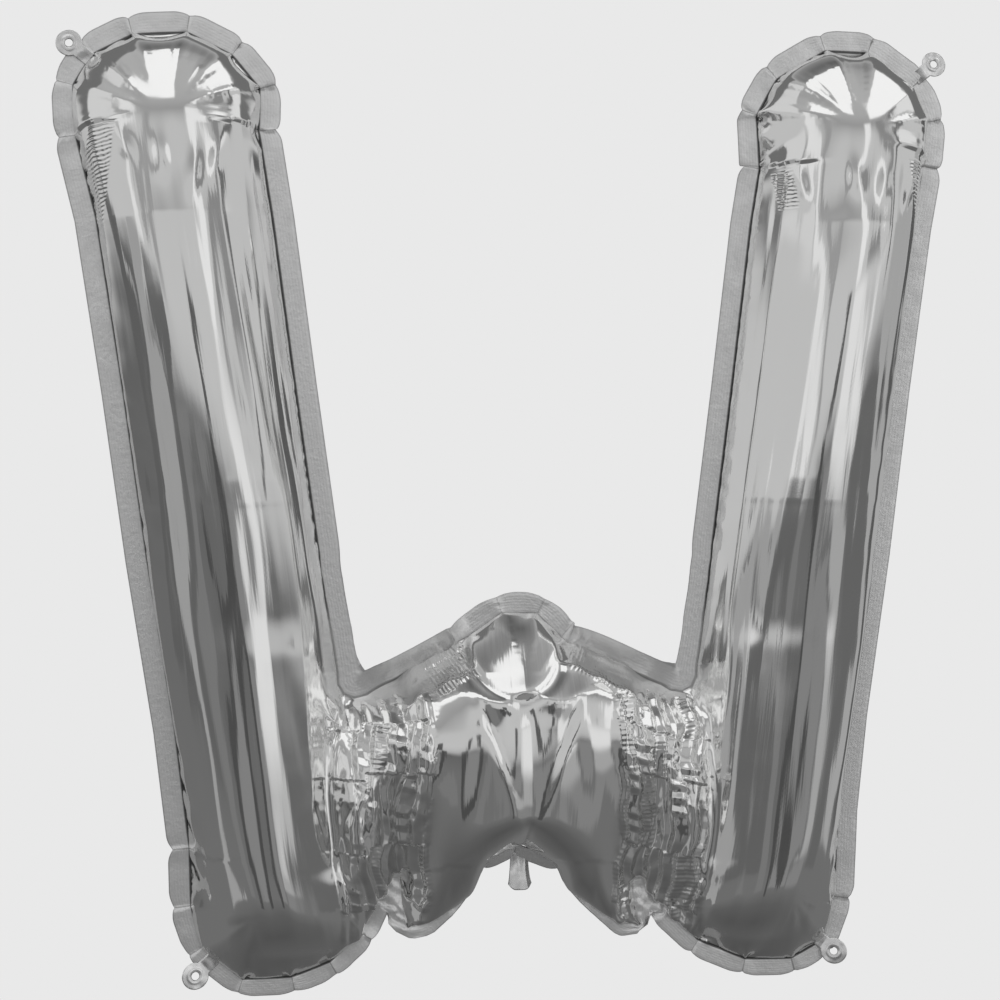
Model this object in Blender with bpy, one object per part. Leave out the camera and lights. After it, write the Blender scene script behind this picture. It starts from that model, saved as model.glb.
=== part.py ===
"""A letter W foil balloon, 0.87 m tall, as Blender objects in metres.

Frame: +X to the right, +Z up, and the front of the letter faces -Y. The seam lies in the plane
y = 0, and the origin is in that plane: on the letter's line of symmetry, at mid height.

The envelope is two sheets of metallised film, a front and a rear one, welded to each other along a
flat margin that runs all round the letter. Gas blows each limb up into a round tube. The real film
is some 0.04 mm thick, so every wall here is thicker than the real one.
"""

import math

import bmesh
import bpy
from mathutils import Matrix, Vector

# The letter's two legs, as tubes: the centre of each end, and half the width at the seam line.
LEG_TOP = Vector((0.3037, 0.0, 0.3330))
LEG_FOOT = Vector((0.2131, 0.0, -0.3500))
HALF_LEG_TOP = 0.0832
HALF_LEG_FOOT = 0.0800
HALF_LEG_WAIST = 0.0738
WAIST_EASE = 0.040
TOP_DOME = 0.0822
FOOT_DOME = 0.0690

# Half the depth of a full tube at each end of a leg, and how far from an end it fills out.
DEPTH_TOP = 0.0730
DEPTH_FOOT = 0.0630
FILL_TOP = 0.0850
FILL_FOOT = 0.0550

# The short middle peak, as upright sections: x, top of the seam line, deepest height, bottom of the
# seam line, half depth, and the power that shapes the section below its deepest height. A power of 1
# is an ellipse, less is blunter, and more draws the film in to the valley between an arm and a leg.
PEAK_SECTIONS = (
    (0.000, -0.1030, -0.2500, -0.3115, 0.0725, 0.60),
    (0.030, -0.1150, -0.2450, -0.3235, 0.0705, 0.80),
    (0.060, -0.1400, -0.2350, -0.3430, 0.0650, 1.10),
    (0.090, -0.1530, -0.2250, -0.3640, 0.0580, 1.65),
    (0.115, -0.1600, -0.2150, -0.3830, 0.0470, 1.80),
    (0.140, -0.1720, -0.2750, -0.3870, 0.0510, 1.70),
    (0.170, -0.1850, -0.3000, -0.3950, 0.0550, 1.00),
    (0.205, -0.2050, -0.2950, -0.3800, 0.0520, 1.00),
)
# The same power above the deepest height, at every section
TOP_POWER = 1.15
# The rounded crown on the middle peak: its centre's height, then its radii along x, y and z.
CROWN_Z = -0.1600
CROWN_RADII = (0.0560, 0.0300, 0.0590)

# Thicknesses of the solids, and the gap that keeps neighbours apart.
FILM = 0.0015
MARGIN_THICK = 0.0020
GAP = 0.0003

# Width of the welded margin outside the seam line.
MARGIN = 0.0195

# Hanging tabs: small eyelets on short necks at the margin's edge. The eyes are x and z on the right.
UPPER_EYE = Vector((0.3938, 0.4025))
LOWER_EYE = Vector((0.2901, -0.4170))
TAB_R = 0.0115
TAB_HOLE_R = 0.0034
TAB_NECK = 0.0130

# The flat filling tail hangs in the notch. It comes through the margin from the seam line.
TAIL_TOP_Z = -0.3080
TAIL_END_Z = -0.3540
TAIL_W = 0.0200
TAIL_FLARE = 0.0016
TAIL_CORNER = 0.0040

ROUND_STEPS = 28
DOME_STEPS = 8
TUBE_STEPS = 10
SECTION_POINTS = 28
ARC_STEPS = 28
HOLE_STEPS = 20
BEYOND = 0.6

SILVER = (0.80, 0.80, 0.81)
MARGIN_GREY = (0.62, 0.62, 0.63)


def clear_scene():
    for obj in list(bpy.data.objects):
        bpy.data.objects.remove(obj, do_unlink=True)


def new_collection(name):
    collection = bpy.data.collections.new(name)
    bpy.context.scene.collection.children.link(collection)
    return collection


def material(name, colour, roughness):
    made = bpy.data.materials.new(name)
    made.use_nodes = True
    shader = made.node_tree.nodes["Principled BSDF"]
    shader.inputs["Base Color"].default_value = (*colour, 1.0)
    shader.inputs["Roughness"].default_value = roughness
    shader.inputs["Metallic"].default_value = 1.0
    return made


def into(collection, obj):
    for holder in list(obj.users_collection):
        holder.objects.unlink(obj)
    collection.objects.link(obj)
    return obj


def as_mesh(obj, name, collection):
    """The object's shape with its modifiers applied, as a welded mesh in world space, in its place."""
    bpy.context.view_layer.update()
    graph = bpy.context.evaluated_depsgraph_get()
    mesh = bpy.data.meshes.new_from_object(obj.evaluated_get(graph))
    mesh.transform(obj.matrix_world)
    bpy.data.objects.remove(obj, do_unlink=True)
    work = bmesh.new()
    work.from_mesh(mesh)
    bmesh.ops.remove_doubles(work, verts=work.verts, dist=0.00002)
    work.to_mesh(mesh)
    work.free()
    made = bpy.data.objects.new(name, mesh)
    collection.objects.link(made)
    return made


def helper(obj):
    obj.hide_render = True
    obj.display_type = "WIRE"
    return obj


def finish(obj, surface):
    obj.data.materials.clear()
    obj.data.materials.append(surface)
    obj.data.shade_smooth()
    obj.data.set_sharp_from_angle(angle=math.radians(35))


def boolean(obj, other, operation):
    modifier = obj.modifiers.new(operation.lower(), "BOOLEAN")
    modifier.operation = operation
    modifier.object = other
    modifier.solver = "EXACT"


def leg_width(along, length):
    """Half the tube's width at a distance along the leg's axis, from its foot's centre to its top's."""
    foot = (HALF_LEG_FOOT - HALF_LEG_WAIST) * math.exp(-along / WAIST_EASE)
    top = (HALF_LEG_TOP - HALF_LEG_WAIST) * math.exp(-(length - along) / WAIST_EASE)
    return HALF_LEG_WAIST + foot + top


def leg_depth(along, length):
    """Half the tube's depth at a distance along the leg's axis, from its foot's centre to its top's."""
    full = DEPTH_FOOT + (DEPTH_TOP - DEPTH_FOOT) * along / length
    from_top = max(length + TOP_DOME - along, 0.0)
    from_foot = max(along + FOOT_DOME, 0.0)
    filled = (1 - math.exp(-from_top / FILL_TOP)) * (1 - math.exp(-from_foot / FILL_FOOT))
    return full * math.sqrt(filled)


def leg_profile():
    """(half width, distance along the axis, sine of the outline's lean) from foot to top."""
    length = (LEG_TOP - LEG_FOOT).length
    angles = [math.radians(90 * i / DOME_STEPS) for i in range(1, DOME_STEPS)]
    points = []
    for a in reversed(angles):
        points.append((HALF_LEG_FOOT * math.cos(a), -FOOT_DOME * math.sin(a), -math.sin(a)))
    for i in range(TUBE_STEPS + 1):
        along = length * (1 - math.cos(math.pi * i / TUBE_STEPS)) / 2
        points.append((leg_width(along, length), along, 0.0))
    for a in angles:
        points.append((HALF_LEG_TOP * math.cos(a), length + TOP_DOME * math.sin(a), math.sin(a)))
    return points


def loft(name, rings, collection, poles=None):
    """A closed solid through rings of equally many points, ended flat or at two poles."""
    size = len(rings[0])
    points = [point for ring in rings for point in ring]
    faces = []
    for row in range(len(rings) - 1):
        a, b = row * size, (row + 1) * size
        for i in range(size):
            j = (i + 1) % size
            faces.append((a + j, a + i, b + i, b + j))
    last = (len(rings) - 1) * size
    if poles:
        points += poles
        for i in range(size):
            j = (i + 1) % size
            faces.append((i, j, len(points) - 2))
            faces.append((last + j, last + i, len(points) - 1))
    else:
        faces.append(tuple(range(size)))
        faces.append(tuple(last + i for i in reversed(range(size))))
    mesh = bpy.data.meshes.new(name)
    mesh.from_pydata(points, [], faces)
    obj = bpy.data.objects.new(name, mesh)
    collection.objects.link(obj)
    return obj


def leg(name, side, grow, collection):
    """One leg as a loft through ellipses, its walls moved outwards by grow. side is -1 or 1."""
    length = (LEG_TOP - LEG_FOOT).length
    rings = []
    for width, along, lean in leg_profile():
        depth = leg_depth(along, length)
        upright = math.sqrt(1 - lean * lean)
        moved = along + grow * lean
        ring = []
        for k in range(ROUND_STEPS):
            turn = 2 * math.pi * k / ROUND_STEPS
            across = (width + grow * upright) * math.sin(turn)
            ring.append((across, (depth + grow * upright) * math.cos(turn), moved))
        rings.append(ring)
    poles = [(0.0, 0.0, -FOOT_DOME - grow), (0.0, 0.0, length + TOP_DOME + grow)]
    obj = loft(name, rings, collection, poles)
    axis = LEG_TOP - LEG_FOOT
    obj.rotation_euler = (0.0, math.atan2(side * axis.x, axis.z), 0.0)
    obj.location = (side * LEG_FOOT.x, 0.0, LEG_FOOT.z)
    return as_mesh(obj, name, collection)


def middle(name, grow, collection):
    """The middle peak as a loft through upright sections, its walls moved outwards by grow."""
    mirrored = [(-section[0], *section[1:]) for section in PEAK_SECTIONS[:0:-1]]
    sections = mirrored + list(PEAK_SECTIONS)
    rings = []
    for i, (x, top, deepest, bottom, depth, power) in enumerate(sections):
        before, after = sections[max(i - 1, 0)], sections[min(i + 1, len(sections) - 1)]
        slope = (after[1] + after[3] - before[1] - before[3]) / 2 / (after[0] - before[0])
        taller = grow * math.hypot(1.0, slope)
        ring = []
        for k in range(SECTION_POINTS):
            turn = 2 * math.pi * k / SECTION_POINTS
            up, out = math.cos(turn), math.sin(turn)
            if up > 0:
                reach, shape = top - deepest + taller, TOP_POWER
            else:
                reach, shape = bottom - deepest - taller, power
            height = deepest + reach * abs(up) ** shape
            out = math.copysign(abs(out) ** shape, out)
            ring.append((x, (depth + grow) * out, height))
        rings.append(ring)
    return loft(name, rings, collection)


def crown(name, grow, collection):
    """The peak's rounded crown as an ellipsoid."""
    bpy.ops.mesh.primitive_uv_sphere_add(segments=24, ring_count=12, radius=1.0)
    obj = bpy.context.object
    obj.name = name
    obj.scale = [radius + grow for radius in CROWN_RADII]
    obj.location = (0.0, 0.0, CROWN_Z)
    return into(collection, obj)


def letter(name, grow, collection):
    """The whole blown-up letter as one solid, its walls moved outwards by grow."""
    base = leg("left leg", -1, grow, collection)
    others = [
        leg("right leg", 1, grow, collection),
        middle("middle", grow, collection),
        crown("crown", grow, collection),
    ]
    for other in others:
        boolean(base, other, "UNION")
    made = helper(as_mesh(base, name, collection))
    for other in others:
        bpy.data.objects.remove(other, do_unlink=True)
    return made


def box(name, low, high, collection):
    bpy.ops.mesh.primitive_cube_add(size=1.0)
    obj = bpy.context.object
    obj.name = name
    obj.location = [(a + b) / 2 for a, b in zip(low, high)]
    obj.scale = [b - a for a, b in zip(low, high)]
    return helper(into(collection, obj))


def flat_piece(name, outlines, thick, collection):
    """A flat piece in the seam plane. The first outline is its edge, and any others are holes."""
    curve = bpy.data.curves.new(name + " outline", "CURVE")
    curve.dimensions = "2D"
    curve.fill_mode = "BOTH"
    curve.extrude = thick / 2
    for outline in outlines:
        spline = curve.splines.new("POLY")
        spline.points.add(len(outline) - 1)
        for point, (x, z) in zip(spline.points, outline):
            point.co = (x, z, 0.0, 1.0)
        spline.use_cyclic_u = True
    obj = bpy.data.objects.new(name + " outline", curve)
    obj.rotation_euler = (math.pi / 2, 0.0, 0.0)
    collection.objects.link(obj)
    return as_mesh(obj, name, collection)


def arc(centre, radius, steps, start=0.0, end=2 * math.pi):
    """Points along an arc, from its start up to the step before its end."""
    turns = [start + (end - start) * i / steps for i in range(steps)]
    return [centre + Vector((math.cos(t), math.sin(t))) * radius for t in turns]


def film_panel(name, side, outside, inside, parts, helpers):
    """One half of the blown-up film shell. side is -1 for the front half and 1 for the rear half."""
    panel = bpy.data.objects.new(name, outside.data.copy())
    parts.objects.link(panel)
    near, far = sorted((side * (MARGIN_THICK / 2 + GAP), side * BEYOND))
    half = box(name + " half", (-BEYOND, near, -BEYOND), (BEYOND, far, BEYOND), helpers)
    boolean(panel, inside, "DIFFERENCE")
    boolean(panel, half, "INTERSECT")
    return panel


def seam_margin(grown, inside, parts, helpers):
    """The flat welded band round the letter, open only where the tail passes through it."""
    band = bpy.data.objects.new("seam_margin", grown.data.copy())
    parts.objects.link(band)
    half = MARGIN_THICK / 2
    layer = box("layer", (-BEYOND, -half, -BEYOND), (BEYOND, half, BEYOND), helpers)
    reach = TAIL_W / 2 + TAIL_FLARE + GAP
    low = (-reach, -MARGIN_THICK, TAIL_END_Z - MARGIN)
    high = (reach, MARGIN_THICK, TAIL_TOP_Z + MARGIN)
    channel = box("tail channel", low, high, helpers)
    boolean(band, layer, "INTERSECT")
    boolean(band, inside, "DIFFERENCE")
    boolean(band, channel, "DIFFERENCE")
    return band


def hanging_tab(name, side, leg_end, eye, cleared, parts):
    """An eyelet of film whose neck runs back to the margin's edge."""
    eye = Vector((side * eye.x, eye.y))
    end = Vector((side * leg_end.x, leg_end.z))
    out = (eye - end).normalized()
    across = Vector((-out.y, out.x)) * TAB_NECK / 2
    heading = math.atan2(out.y, out.x)
    opening = math.asin(TAB_NECK / 2 / TAB_R)
    edge = arc(eye, TAB_R, ARC_STEPS, heading - math.pi + opening, heading + math.pi - opening)
    root = eye - out * TAB_R * 2
    edge += [eye - out * TAB_R * math.cos(opening) + across, root + across, root - across]
    hole = arc(eye, TAB_HOLE_R, HOLE_STEPS)
    tab = flat_piece(name, [edge, hole], MARGIN_THICK, parts)
    boolean(tab, cleared, "DIFFERENCE")
    return tab


def filling_tail(parts):
    """The flat tail, slightly wider at its rounded mouth than at the seam line."""
    half = TAIL_W / 2
    corner_x = half + TAIL_FLARE - TAIL_CORNER
    corner_z = TAIL_END_Z + TAIL_CORNER
    left, right = Vector((-corner_x, corner_z)), Vector((corner_x, corner_z))
    edge = arc(left, TAIL_CORNER, 6, math.pi, 1.5 * math.pi)
    edge.append(left + Vector((0.0, -TAIL_CORNER)))
    edge += arc(right, TAIL_CORNER, 6, 1.5 * math.pi, 2 * math.pi)
    edge.append(right + Vector((TAIL_CORNER, 0.0)))
    edge += [Vector((half, TAIL_TOP_Z)), Vector((-half, TAIL_TOP_Z))]
    return flat_piece("inflation_tail", [edge], MARGIN_THICK, parts)


def main():
    clear_scene()
    parts = new_collection("letter balloon")
    helpers = new_collection("cutters")
    silver = material("silver film", SILVER, 0.12)
    margin_grey = material("welded margin", MARGIN_GREY, 0.22)

    outside = letter("outside", 0.0, helpers)
    inside = letter("inside", -FILM, helpers)
    grown = letter("grown", MARGIN, helpers)
    cleared = letter("cleared", MARGIN + GAP, helpers)

    finish(film_panel("front_panel", -1, outside, inside, parts, helpers), silver)
    finish(film_panel("rear_panel", 1, outside, inside, parts, helpers), silver)
    finish(seam_margin(grown, inside, parts, helpers), margin_grey)
    for level, leg_end, eye in (("upper", LEG_TOP, UPPER_EYE), ("lower", LEG_FOOT, LOWER_EYE)):
        for word, side in (("left", -1), ("right", 1)):
            name = f"hanging_tab_{level}_{word}"
            finish(hanging_tab(name, side, leg_end, eye, cleared, parts), margin_grey)
    finish(filling_tail(parts), margin_grey)


main()
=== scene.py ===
import math
from bisect import bisect

import bmesh
import bpy
import numpy as np
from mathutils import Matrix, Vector, noise
from mathutils.geometry import delaunay_2d_cdt
from mathutils.kdtree import KDTree


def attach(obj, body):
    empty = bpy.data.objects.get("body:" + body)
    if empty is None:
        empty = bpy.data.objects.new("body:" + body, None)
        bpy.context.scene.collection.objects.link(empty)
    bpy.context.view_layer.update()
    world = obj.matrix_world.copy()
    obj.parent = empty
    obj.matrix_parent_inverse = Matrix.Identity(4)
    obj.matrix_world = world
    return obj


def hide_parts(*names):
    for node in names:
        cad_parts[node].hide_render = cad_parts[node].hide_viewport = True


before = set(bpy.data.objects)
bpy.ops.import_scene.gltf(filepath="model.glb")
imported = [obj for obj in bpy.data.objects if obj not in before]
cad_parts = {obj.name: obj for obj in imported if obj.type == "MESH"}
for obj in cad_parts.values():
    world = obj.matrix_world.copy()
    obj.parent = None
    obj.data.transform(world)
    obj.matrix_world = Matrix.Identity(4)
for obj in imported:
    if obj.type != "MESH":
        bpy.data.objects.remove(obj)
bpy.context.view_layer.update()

# Flat cut of the film in metres, as (x, z). Each film is cut to this line plus the welded margin.
FOOT = Vector((0.2500, -0.3500))
TOP = Vector((0.3140, 0.3330))
HALF_FOOT = 0.0980
HALF_TOP = 0.1018
END_FOOT = 0.0820
END_TOP = 0.1068
ROUND_FOOT = 0.0720
ROUND_TOP = 0.0985
BOW_OUT = 0.0180
BOW_IN = -0.0050
BOW_IN_SPAN = 0.80
BOW_FULL = 0.80
CUT_STEP = 0.002
PEAK = Vector((0.0200, -0.1032))
ROUND_PEAK = 0.0050
SHOULDER = Vector((0.1000, -0.1447))
ROUND_CROTCH = 0.0120
KINK = Vector((0.1270, -0.3500))
ROUND_KINK = 0.0050
ARM_CORNER = Vector((0.1050, -0.4520))
ROUND_ARM = 0.0410
NOTCH = Vector((0.0, -0.3680))
ROUND_NOTCH = 0.0490
MARGIN = 0.0195

# The flat mesh, in shares of its spacing: least gap in a row of the margin, and from the lattice to the seam.
# A point of the margin that comes closer to the seam than its own row is left out
LEAST_GAP = 0.45
LATTICE_GAP = 0.62
CLEAR_OF_SEAM = 0.985

# Stretches of the inflated seam in the seam plane, anticlockwise from the front, as (x, z).
# The seam turns a corner at each point and runs straight between them.
SEAM_CORNERS = {
    "peak": [(0.038, -0.126), (0.017, -0.103), (-0.015, -0.102), (-0.057, -0.132)],
    "left_top": [
        (-0.179, -0.050), (-0.199, 0.100), (-0.218, 0.250), (-0.230, 0.329), (-0.229, 0.366),
        (-0.253, 0.395), (-0.292, 0.414), (-0.339, 0.411), (-0.373, 0.393), (-0.390, 0.366),
        (-0.388, 0.322), (-0.371, 0.250), (-0.349, 0.100), (-0.329, -0.050),
    ],
    "left_foot": [
        (-0.329, -0.050), (-0.306, -0.200), (-0.294, -0.305), (-0.293, -0.356), (-0.284, -0.393),
        (-0.249, -0.422), (-0.206, -0.422), (-0.172, -0.410), (-0.146, -0.384), (-0.135, -0.354),
    ],
    "notch": [(-0.102, -0.383), (-0.037, -0.325), (-0.003, -0.310), (0.042, -0.328), (0.112, -0.392)],
    "right_foot": [
        (0.137, -0.374), (0.164, -0.403), (0.208, -0.422), (0.251, -0.423), (0.280, -0.408),
        (0.292, -0.368), (0.296, -0.288), (0.306, -0.200), (0.329, -0.050),
    ],
    "right_top": [
        (0.329, -0.050), (0.349, 0.100), (0.371, 0.250), (0.382, 0.308), (0.386, 0.348),
        (0.373, 0.381), (0.330, 0.411), (0.290, 0.412), (0.244, 0.385), (0.225, 0.352),
        (0.227, 0.303), (0.218, 0.250), (0.199, 0.100), (0.179, -0.050),
    ],
}
# Where the ends of the leg stretches are on the flat film
INNER_SIDE = Vector((0.157, -0.050))
OUTER_SIDE = Vector((0.352, -0.050))

# Inflation: half the first gap between the films, spacing of the first mesh, then for each level the steps,
# the gas push, the damping, the film's push and bending, and whether the seam slides along its path. The
# gas push holds for a mesh of GAS_STEP, whose triangles have HEX_SHARE of its square as their area twice over
FIRST_GAP = 0.002
FIRST_STEP = 0.0105
GAS_STEP = 0.005
HEX_SHARE = 0.866
LEVELS = [
    [(330, 4.0e-6, 0.985, 0.15, 0.05, True), (120, 3.0e-6, 0.95, 0.15, 0.05, True)],
    [(140, 3.0e-6, 0.95, 0.30, 0.25, True)],
    [(90, 3.0e-6, 0.93, 0.60, 0.25, False)],
]
WELD_PRESS = 0.05
SMOOTHINGS = 3
# A straight side longer than this takes up little film. The rest is gathered, or tucked in beside the corners
LONG_SIDE = 0.052
SIDE_GATHER = 1.01
TUCK = 0.3
LEAST_TUCK = 0.001
MOST_TUCK = 0.4
# How far the weld of the feet stays free beside the arms
LEFT_CLEAR = 0.028
RIGHT_CLEAR = 0.036
# Run of the seam from the start of these stretches to the middle of the letter
APEX = {"peak": 0.047, "notch": 0.127}
# The held seam is drawn to its place in so many steps, and the weld and the seam are pulled flat at each step
DRAW_STEPS = 40
WELD_FLATTEN = 0.03
SEAM_FLATTEN = 0.01


def fillet(corners, step):
    """Rounds each (point, radius) corner of a closed polygon."""
    out = []
    for i, (p, radius) in enumerate(corners):
        before = (corners[i - 1][0] - p).normalized()
        after = (corners[(i + 1) % len(corners)][0] - p).normalized()
        if radius <= 0:
            out.append(p)
            continue
        half = math.acos(max(-1.0, min(1.0, before.dot(after)))) / 2
        start = p + before * (radius / math.tan(half))
        end = p + after * (radius / math.tan(half))
        centre = p + (before + after).normalized() * (radius / math.sin(half))
        a0 = math.atan2(start.y - centre.y, start.x - centre.x)
        a1 = math.atan2(end.y - centre.y, end.x - centre.x)
        turn = (a1 - a0 + math.pi) % (2 * math.pi) - math.pi
        count = max(2, round(abs(turn) * radius / step))
        for k in range(count + 1):
            a = a0 + turn * k / count
            out.append(centre + radius * Vector((math.cos(a), math.sin(a))))
    return out


def run_round(points):
    """Length along a closed line at each of its points, and once round it."""
    spans = np.linalg.norm(np.roll(points, -1, axis=0) - points, axis=1)
    return np.concatenate([[0], np.cumsum(spans)])


def unit(rows):
    """The rows as vectors of length 1."""
    return rows / np.linalg.norm(rows, axis=1)[:, None]


def evenly(points, step):
    """Evenly spaced points along a closed line."""
    line = np.vstack([points, points[:1]])
    run = run_round(points)
    count = round(run[-1] / step / 2) * 2
    at = np.arange(count) * run[-1] / count
    return np.stack([np.interp(at, run, line[:, 0]), np.interp(at, run, line[:, 1])], axis=1)


def cut_line(step):
    """The seam line of the flat film, anticlockwise, as an array of (x, z)."""
    up = (TOP - FOOT).normalized()
    out = Vector((up.y, -up.x))
    base = FOOT - up * END_FOOT
    head = TOP + up * END_TOP
    foot_in = base - out * HALF_FOOT
    head_in = head - out * HALF_TOP
    slope = (SHOULDER - PEAK).normalized()
    leg = (head_in - foot_in).normalized()
    reach = np.linalg.solve([[slope.x, -leg.x], [slope.y, -leg.y]], list(foot_in - PEAK))[0]
    crotch = PEAK + slope * reach
    right = [
        (PEAK, ROUND_PEAK),
        (crotch, ROUND_CROTCH),
        (head_in, ROUND_TOP),
        (head + out * HALF_TOP, ROUND_TOP),
        (base + out * HALF_FOOT, ROUND_FOOT),
        (foot_in, ROUND_FOOT),
        (KINK, ROUND_KINK),
        (ARM_CORNER, ROUND_ARM),
    ]
    left = [(Vector((-p.x, p.y)), radius) for p, radius in reversed(right)]
    rounded = fillet(right + [(NOTCH, ROUND_NOTCH)] + left, step)
    line = evenly(np.array([tuple(p) for p in rounded]), CUT_STEP)

    # The long sides bow
    side = np.sign(line[:, 0])
    p = np.stack([np.abs(line[:, 0]), line[:, 1]], axis=1)
    length = (head - base).length
    along = (p - np.array(base)) @ np.array(up) / length
    across = (p - np.array(FOOT)) @ np.array(out)
    over = np.clip((p - np.array(crotch)) @ np.array(up) / length, 0, BOW_IN_SPAN)
    outer = np.clip(across / (BOW_FULL * HALF_FOOT), 0, 1)
    shift = BOW_OUT * 4 * np.clip(along, 0, 1) * np.clip(1 - along, 0, 1) * outer
    inner = across < -HALF_FOOT / 2
    shift += inner * BOW_IN * 4 * over * (BOW_IN_SPAN - over) / BOW_IN_SPAN**2
    p += shift[:, None] * np.array(out)
    line = np.stack([side * p[:, 0], p[:, 1]], axis=1)
    after = np.roll(line, -1, axis=0)
    if np.sum(line[:, 0] * after[:, 1] - after[:, 0] * line[:, 1]) < 0:
        line = line[::-1]
    return evenly(line, step)


def within(line, points):
    """Which points are inside the closed line."""
    x, z = points[:, 0], points[:, 1]
    inside = np.zeros(len(points), bool)
    for (x0, z0), (x1, z1) in zip(line, np.roll(line, -1, axis=0)):
        if z0 == z1:
            continue
        crosses = (z0 > z) != (z1 > z)
        inside ^= crosses & (x < x0 + (z - z0) * (x1 - x0) / (z1 - z0))
    return inside


def away(line, points):
    """Distance of each point from the closed line."""
    nearest = np.full(len(points), 1e9)
    for p, q in zip(line, np.roll(line, -1, axis=0)):
        d = q - p
        t = np.clip((points - p) @ d / (d @ d), 0, 1)
        nearest = np.minimum(nearest, np.linalg.norm(points - p - t[:, None] * d, axis=1))
    return nearest


def outward(line):
    """Unit normals of an anticlockwise closed line, pointing out."""
    t = unit(np.roll(line, -1, axis=0) - np.roll(line, 1, axis=0))
    return np.stack([t[:, 1], -t[:, 0]], axis=1)


def ring_edges(start, size):
    """Edges of a closed ring of points numbered from start."""
    return [(start + i, start + (i + 1) % size) for i in range(size)]


def doubled_areas(flat, faces):
    """Twice the area of each flat triangle, below 0 where it turns clockwise."""
    a, b, c = (flat[faces[:, k]] for k in range(3))
    return (b - a)[:, 0] * (c - a)[:, 1] - (b - a)[:, 1] * (c - a)[:, 0]


def flat_film(step):
    """Triangulates the cut film: (points, triangles, panel triangles, points inside the seam)."""
    seam = cut_line(step)
    rows = [seam]
    count = round(MARGIN / step)
    for r in range(1, count + 1):
        reach = MARGIN * r / count
        row = seam + outward(seam) * reach
        row = row[away(seam, row) > reach * CLEAR_OF_SEAM]
        kept = [row[0]]
        for point in row[1:]:
            if np.linalg.norm(point - kept[-1]) > LEAST_GAP * step:
                kept.append(point)
        rows.append(np.array(kept))

    # A hexagonal lattice fills the inside
    low, high = seam.min(axis=0), seam.max(axis=0)
    rise = step * math.sqrt(3) / 2
    wide = int(high[0] / step) + 2
    lattice = []
    for j in range(int((high[1] - low[1]) / rise) + 2):
        x = (np.arange(-wide, wide) + 0.5 * (j % 2)) * step
        lattice.append(np.stack([x, np.full(len(x), low[1] + j * rise)], axis=1))
    lattice = np.vstack(lattice)
    lattice = lattice[within(seam, lattice)]
    lattice = lattice[away(seam, lattice) > LATTICE_GAP * step]

    points = np.vstack(rows + [lattice])
    starts = np.cumsum([0] + [len(row) for row in rows])
    edges = []
    for r in (0, count):
        edges += ring_edges(int(starts[r]), len(rows[r]))
    found = delaunay_2d_cdt([Vector(p) for p in points], edges, [], 1, 1e-6)
    flat = np.array([tuple(v) for v in found[0]])
    faces = np.array([f for f in found[2] if len(f) == 3])
    faces = faces[within(rows[-1], flat[faces].mean(axis=1))]
    turned = doubled_areas(flat, faces) < 0
    faces[turned] = faces[turned][:, ::-1]
    panel = within(seam, flat[faces].mean(axis=1))
    inner = within(seam, flat) & (away(seam, flat) > 1e-5)
    return flat, faces, panel, inner


def sides_of(faces):
    """The two ends of each side of each triangle, in the triangle's order."""
    return np.vstack([faces[:, [0, 1]], faces[:, [1, 2]], faces[:, [2, 0]]])


def edges_of(faces):
    return np.unique(np.sort(sides_of(faces), axis=1), axis=0)


def across_edges(faces):
    """The two far points of each pair of triangles that share an edge."""
    ends = np.sort(sides_of(faces), axis=1)
    far = np.concatenate([faces[:, 2], faces[:, 0], faces[:, 1]])
    key = ends[:, 0].astype(np.int64) * (faces.max() + 1) + ends[:, 1]
    order = np.argsort(key, kind="stable")
    same = np.where(np.diff(key[order]) == 0)[0]
    return np.stack([far[order][same], far[order][same + 1]], axis=1)


def colours(pairs, size):
    """Splits pairs into groups in which no point comes twice."""
    used = [0] * size
    chosen = np.empty(len(pairs), np.int32)
    for i, (a, b) in enumerate(pairs.tolist()):
        taken = used[a] | used[b]
        c = 0
        while taken >> c & 1:
            c += 1
        chosen[i] = c
        used[a] |= 1 << c
        used[b] |= 1 << c
    return [np.where(chosen == c)[0] for c in range(chosen.max() + 1)]


def nearest_on(path, points):
    """The nearest place to each point on an open line."""
    start, span = np.array(path[:-1]), np.diff(path, axis=0)
    offset = points[:, None, :] - start[None]
    t = np.clip((offset * span).sum(axis=2) / (span * span).sum(axis=1), 0, 1)
    places = start[None] + t[:, :, None] * span[None]
    gap = ((places - points[:, None, :]) ** 2).sum(axis=2)
    return places[np.arange(len(points)), gap.argmin(axis=1)]


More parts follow.
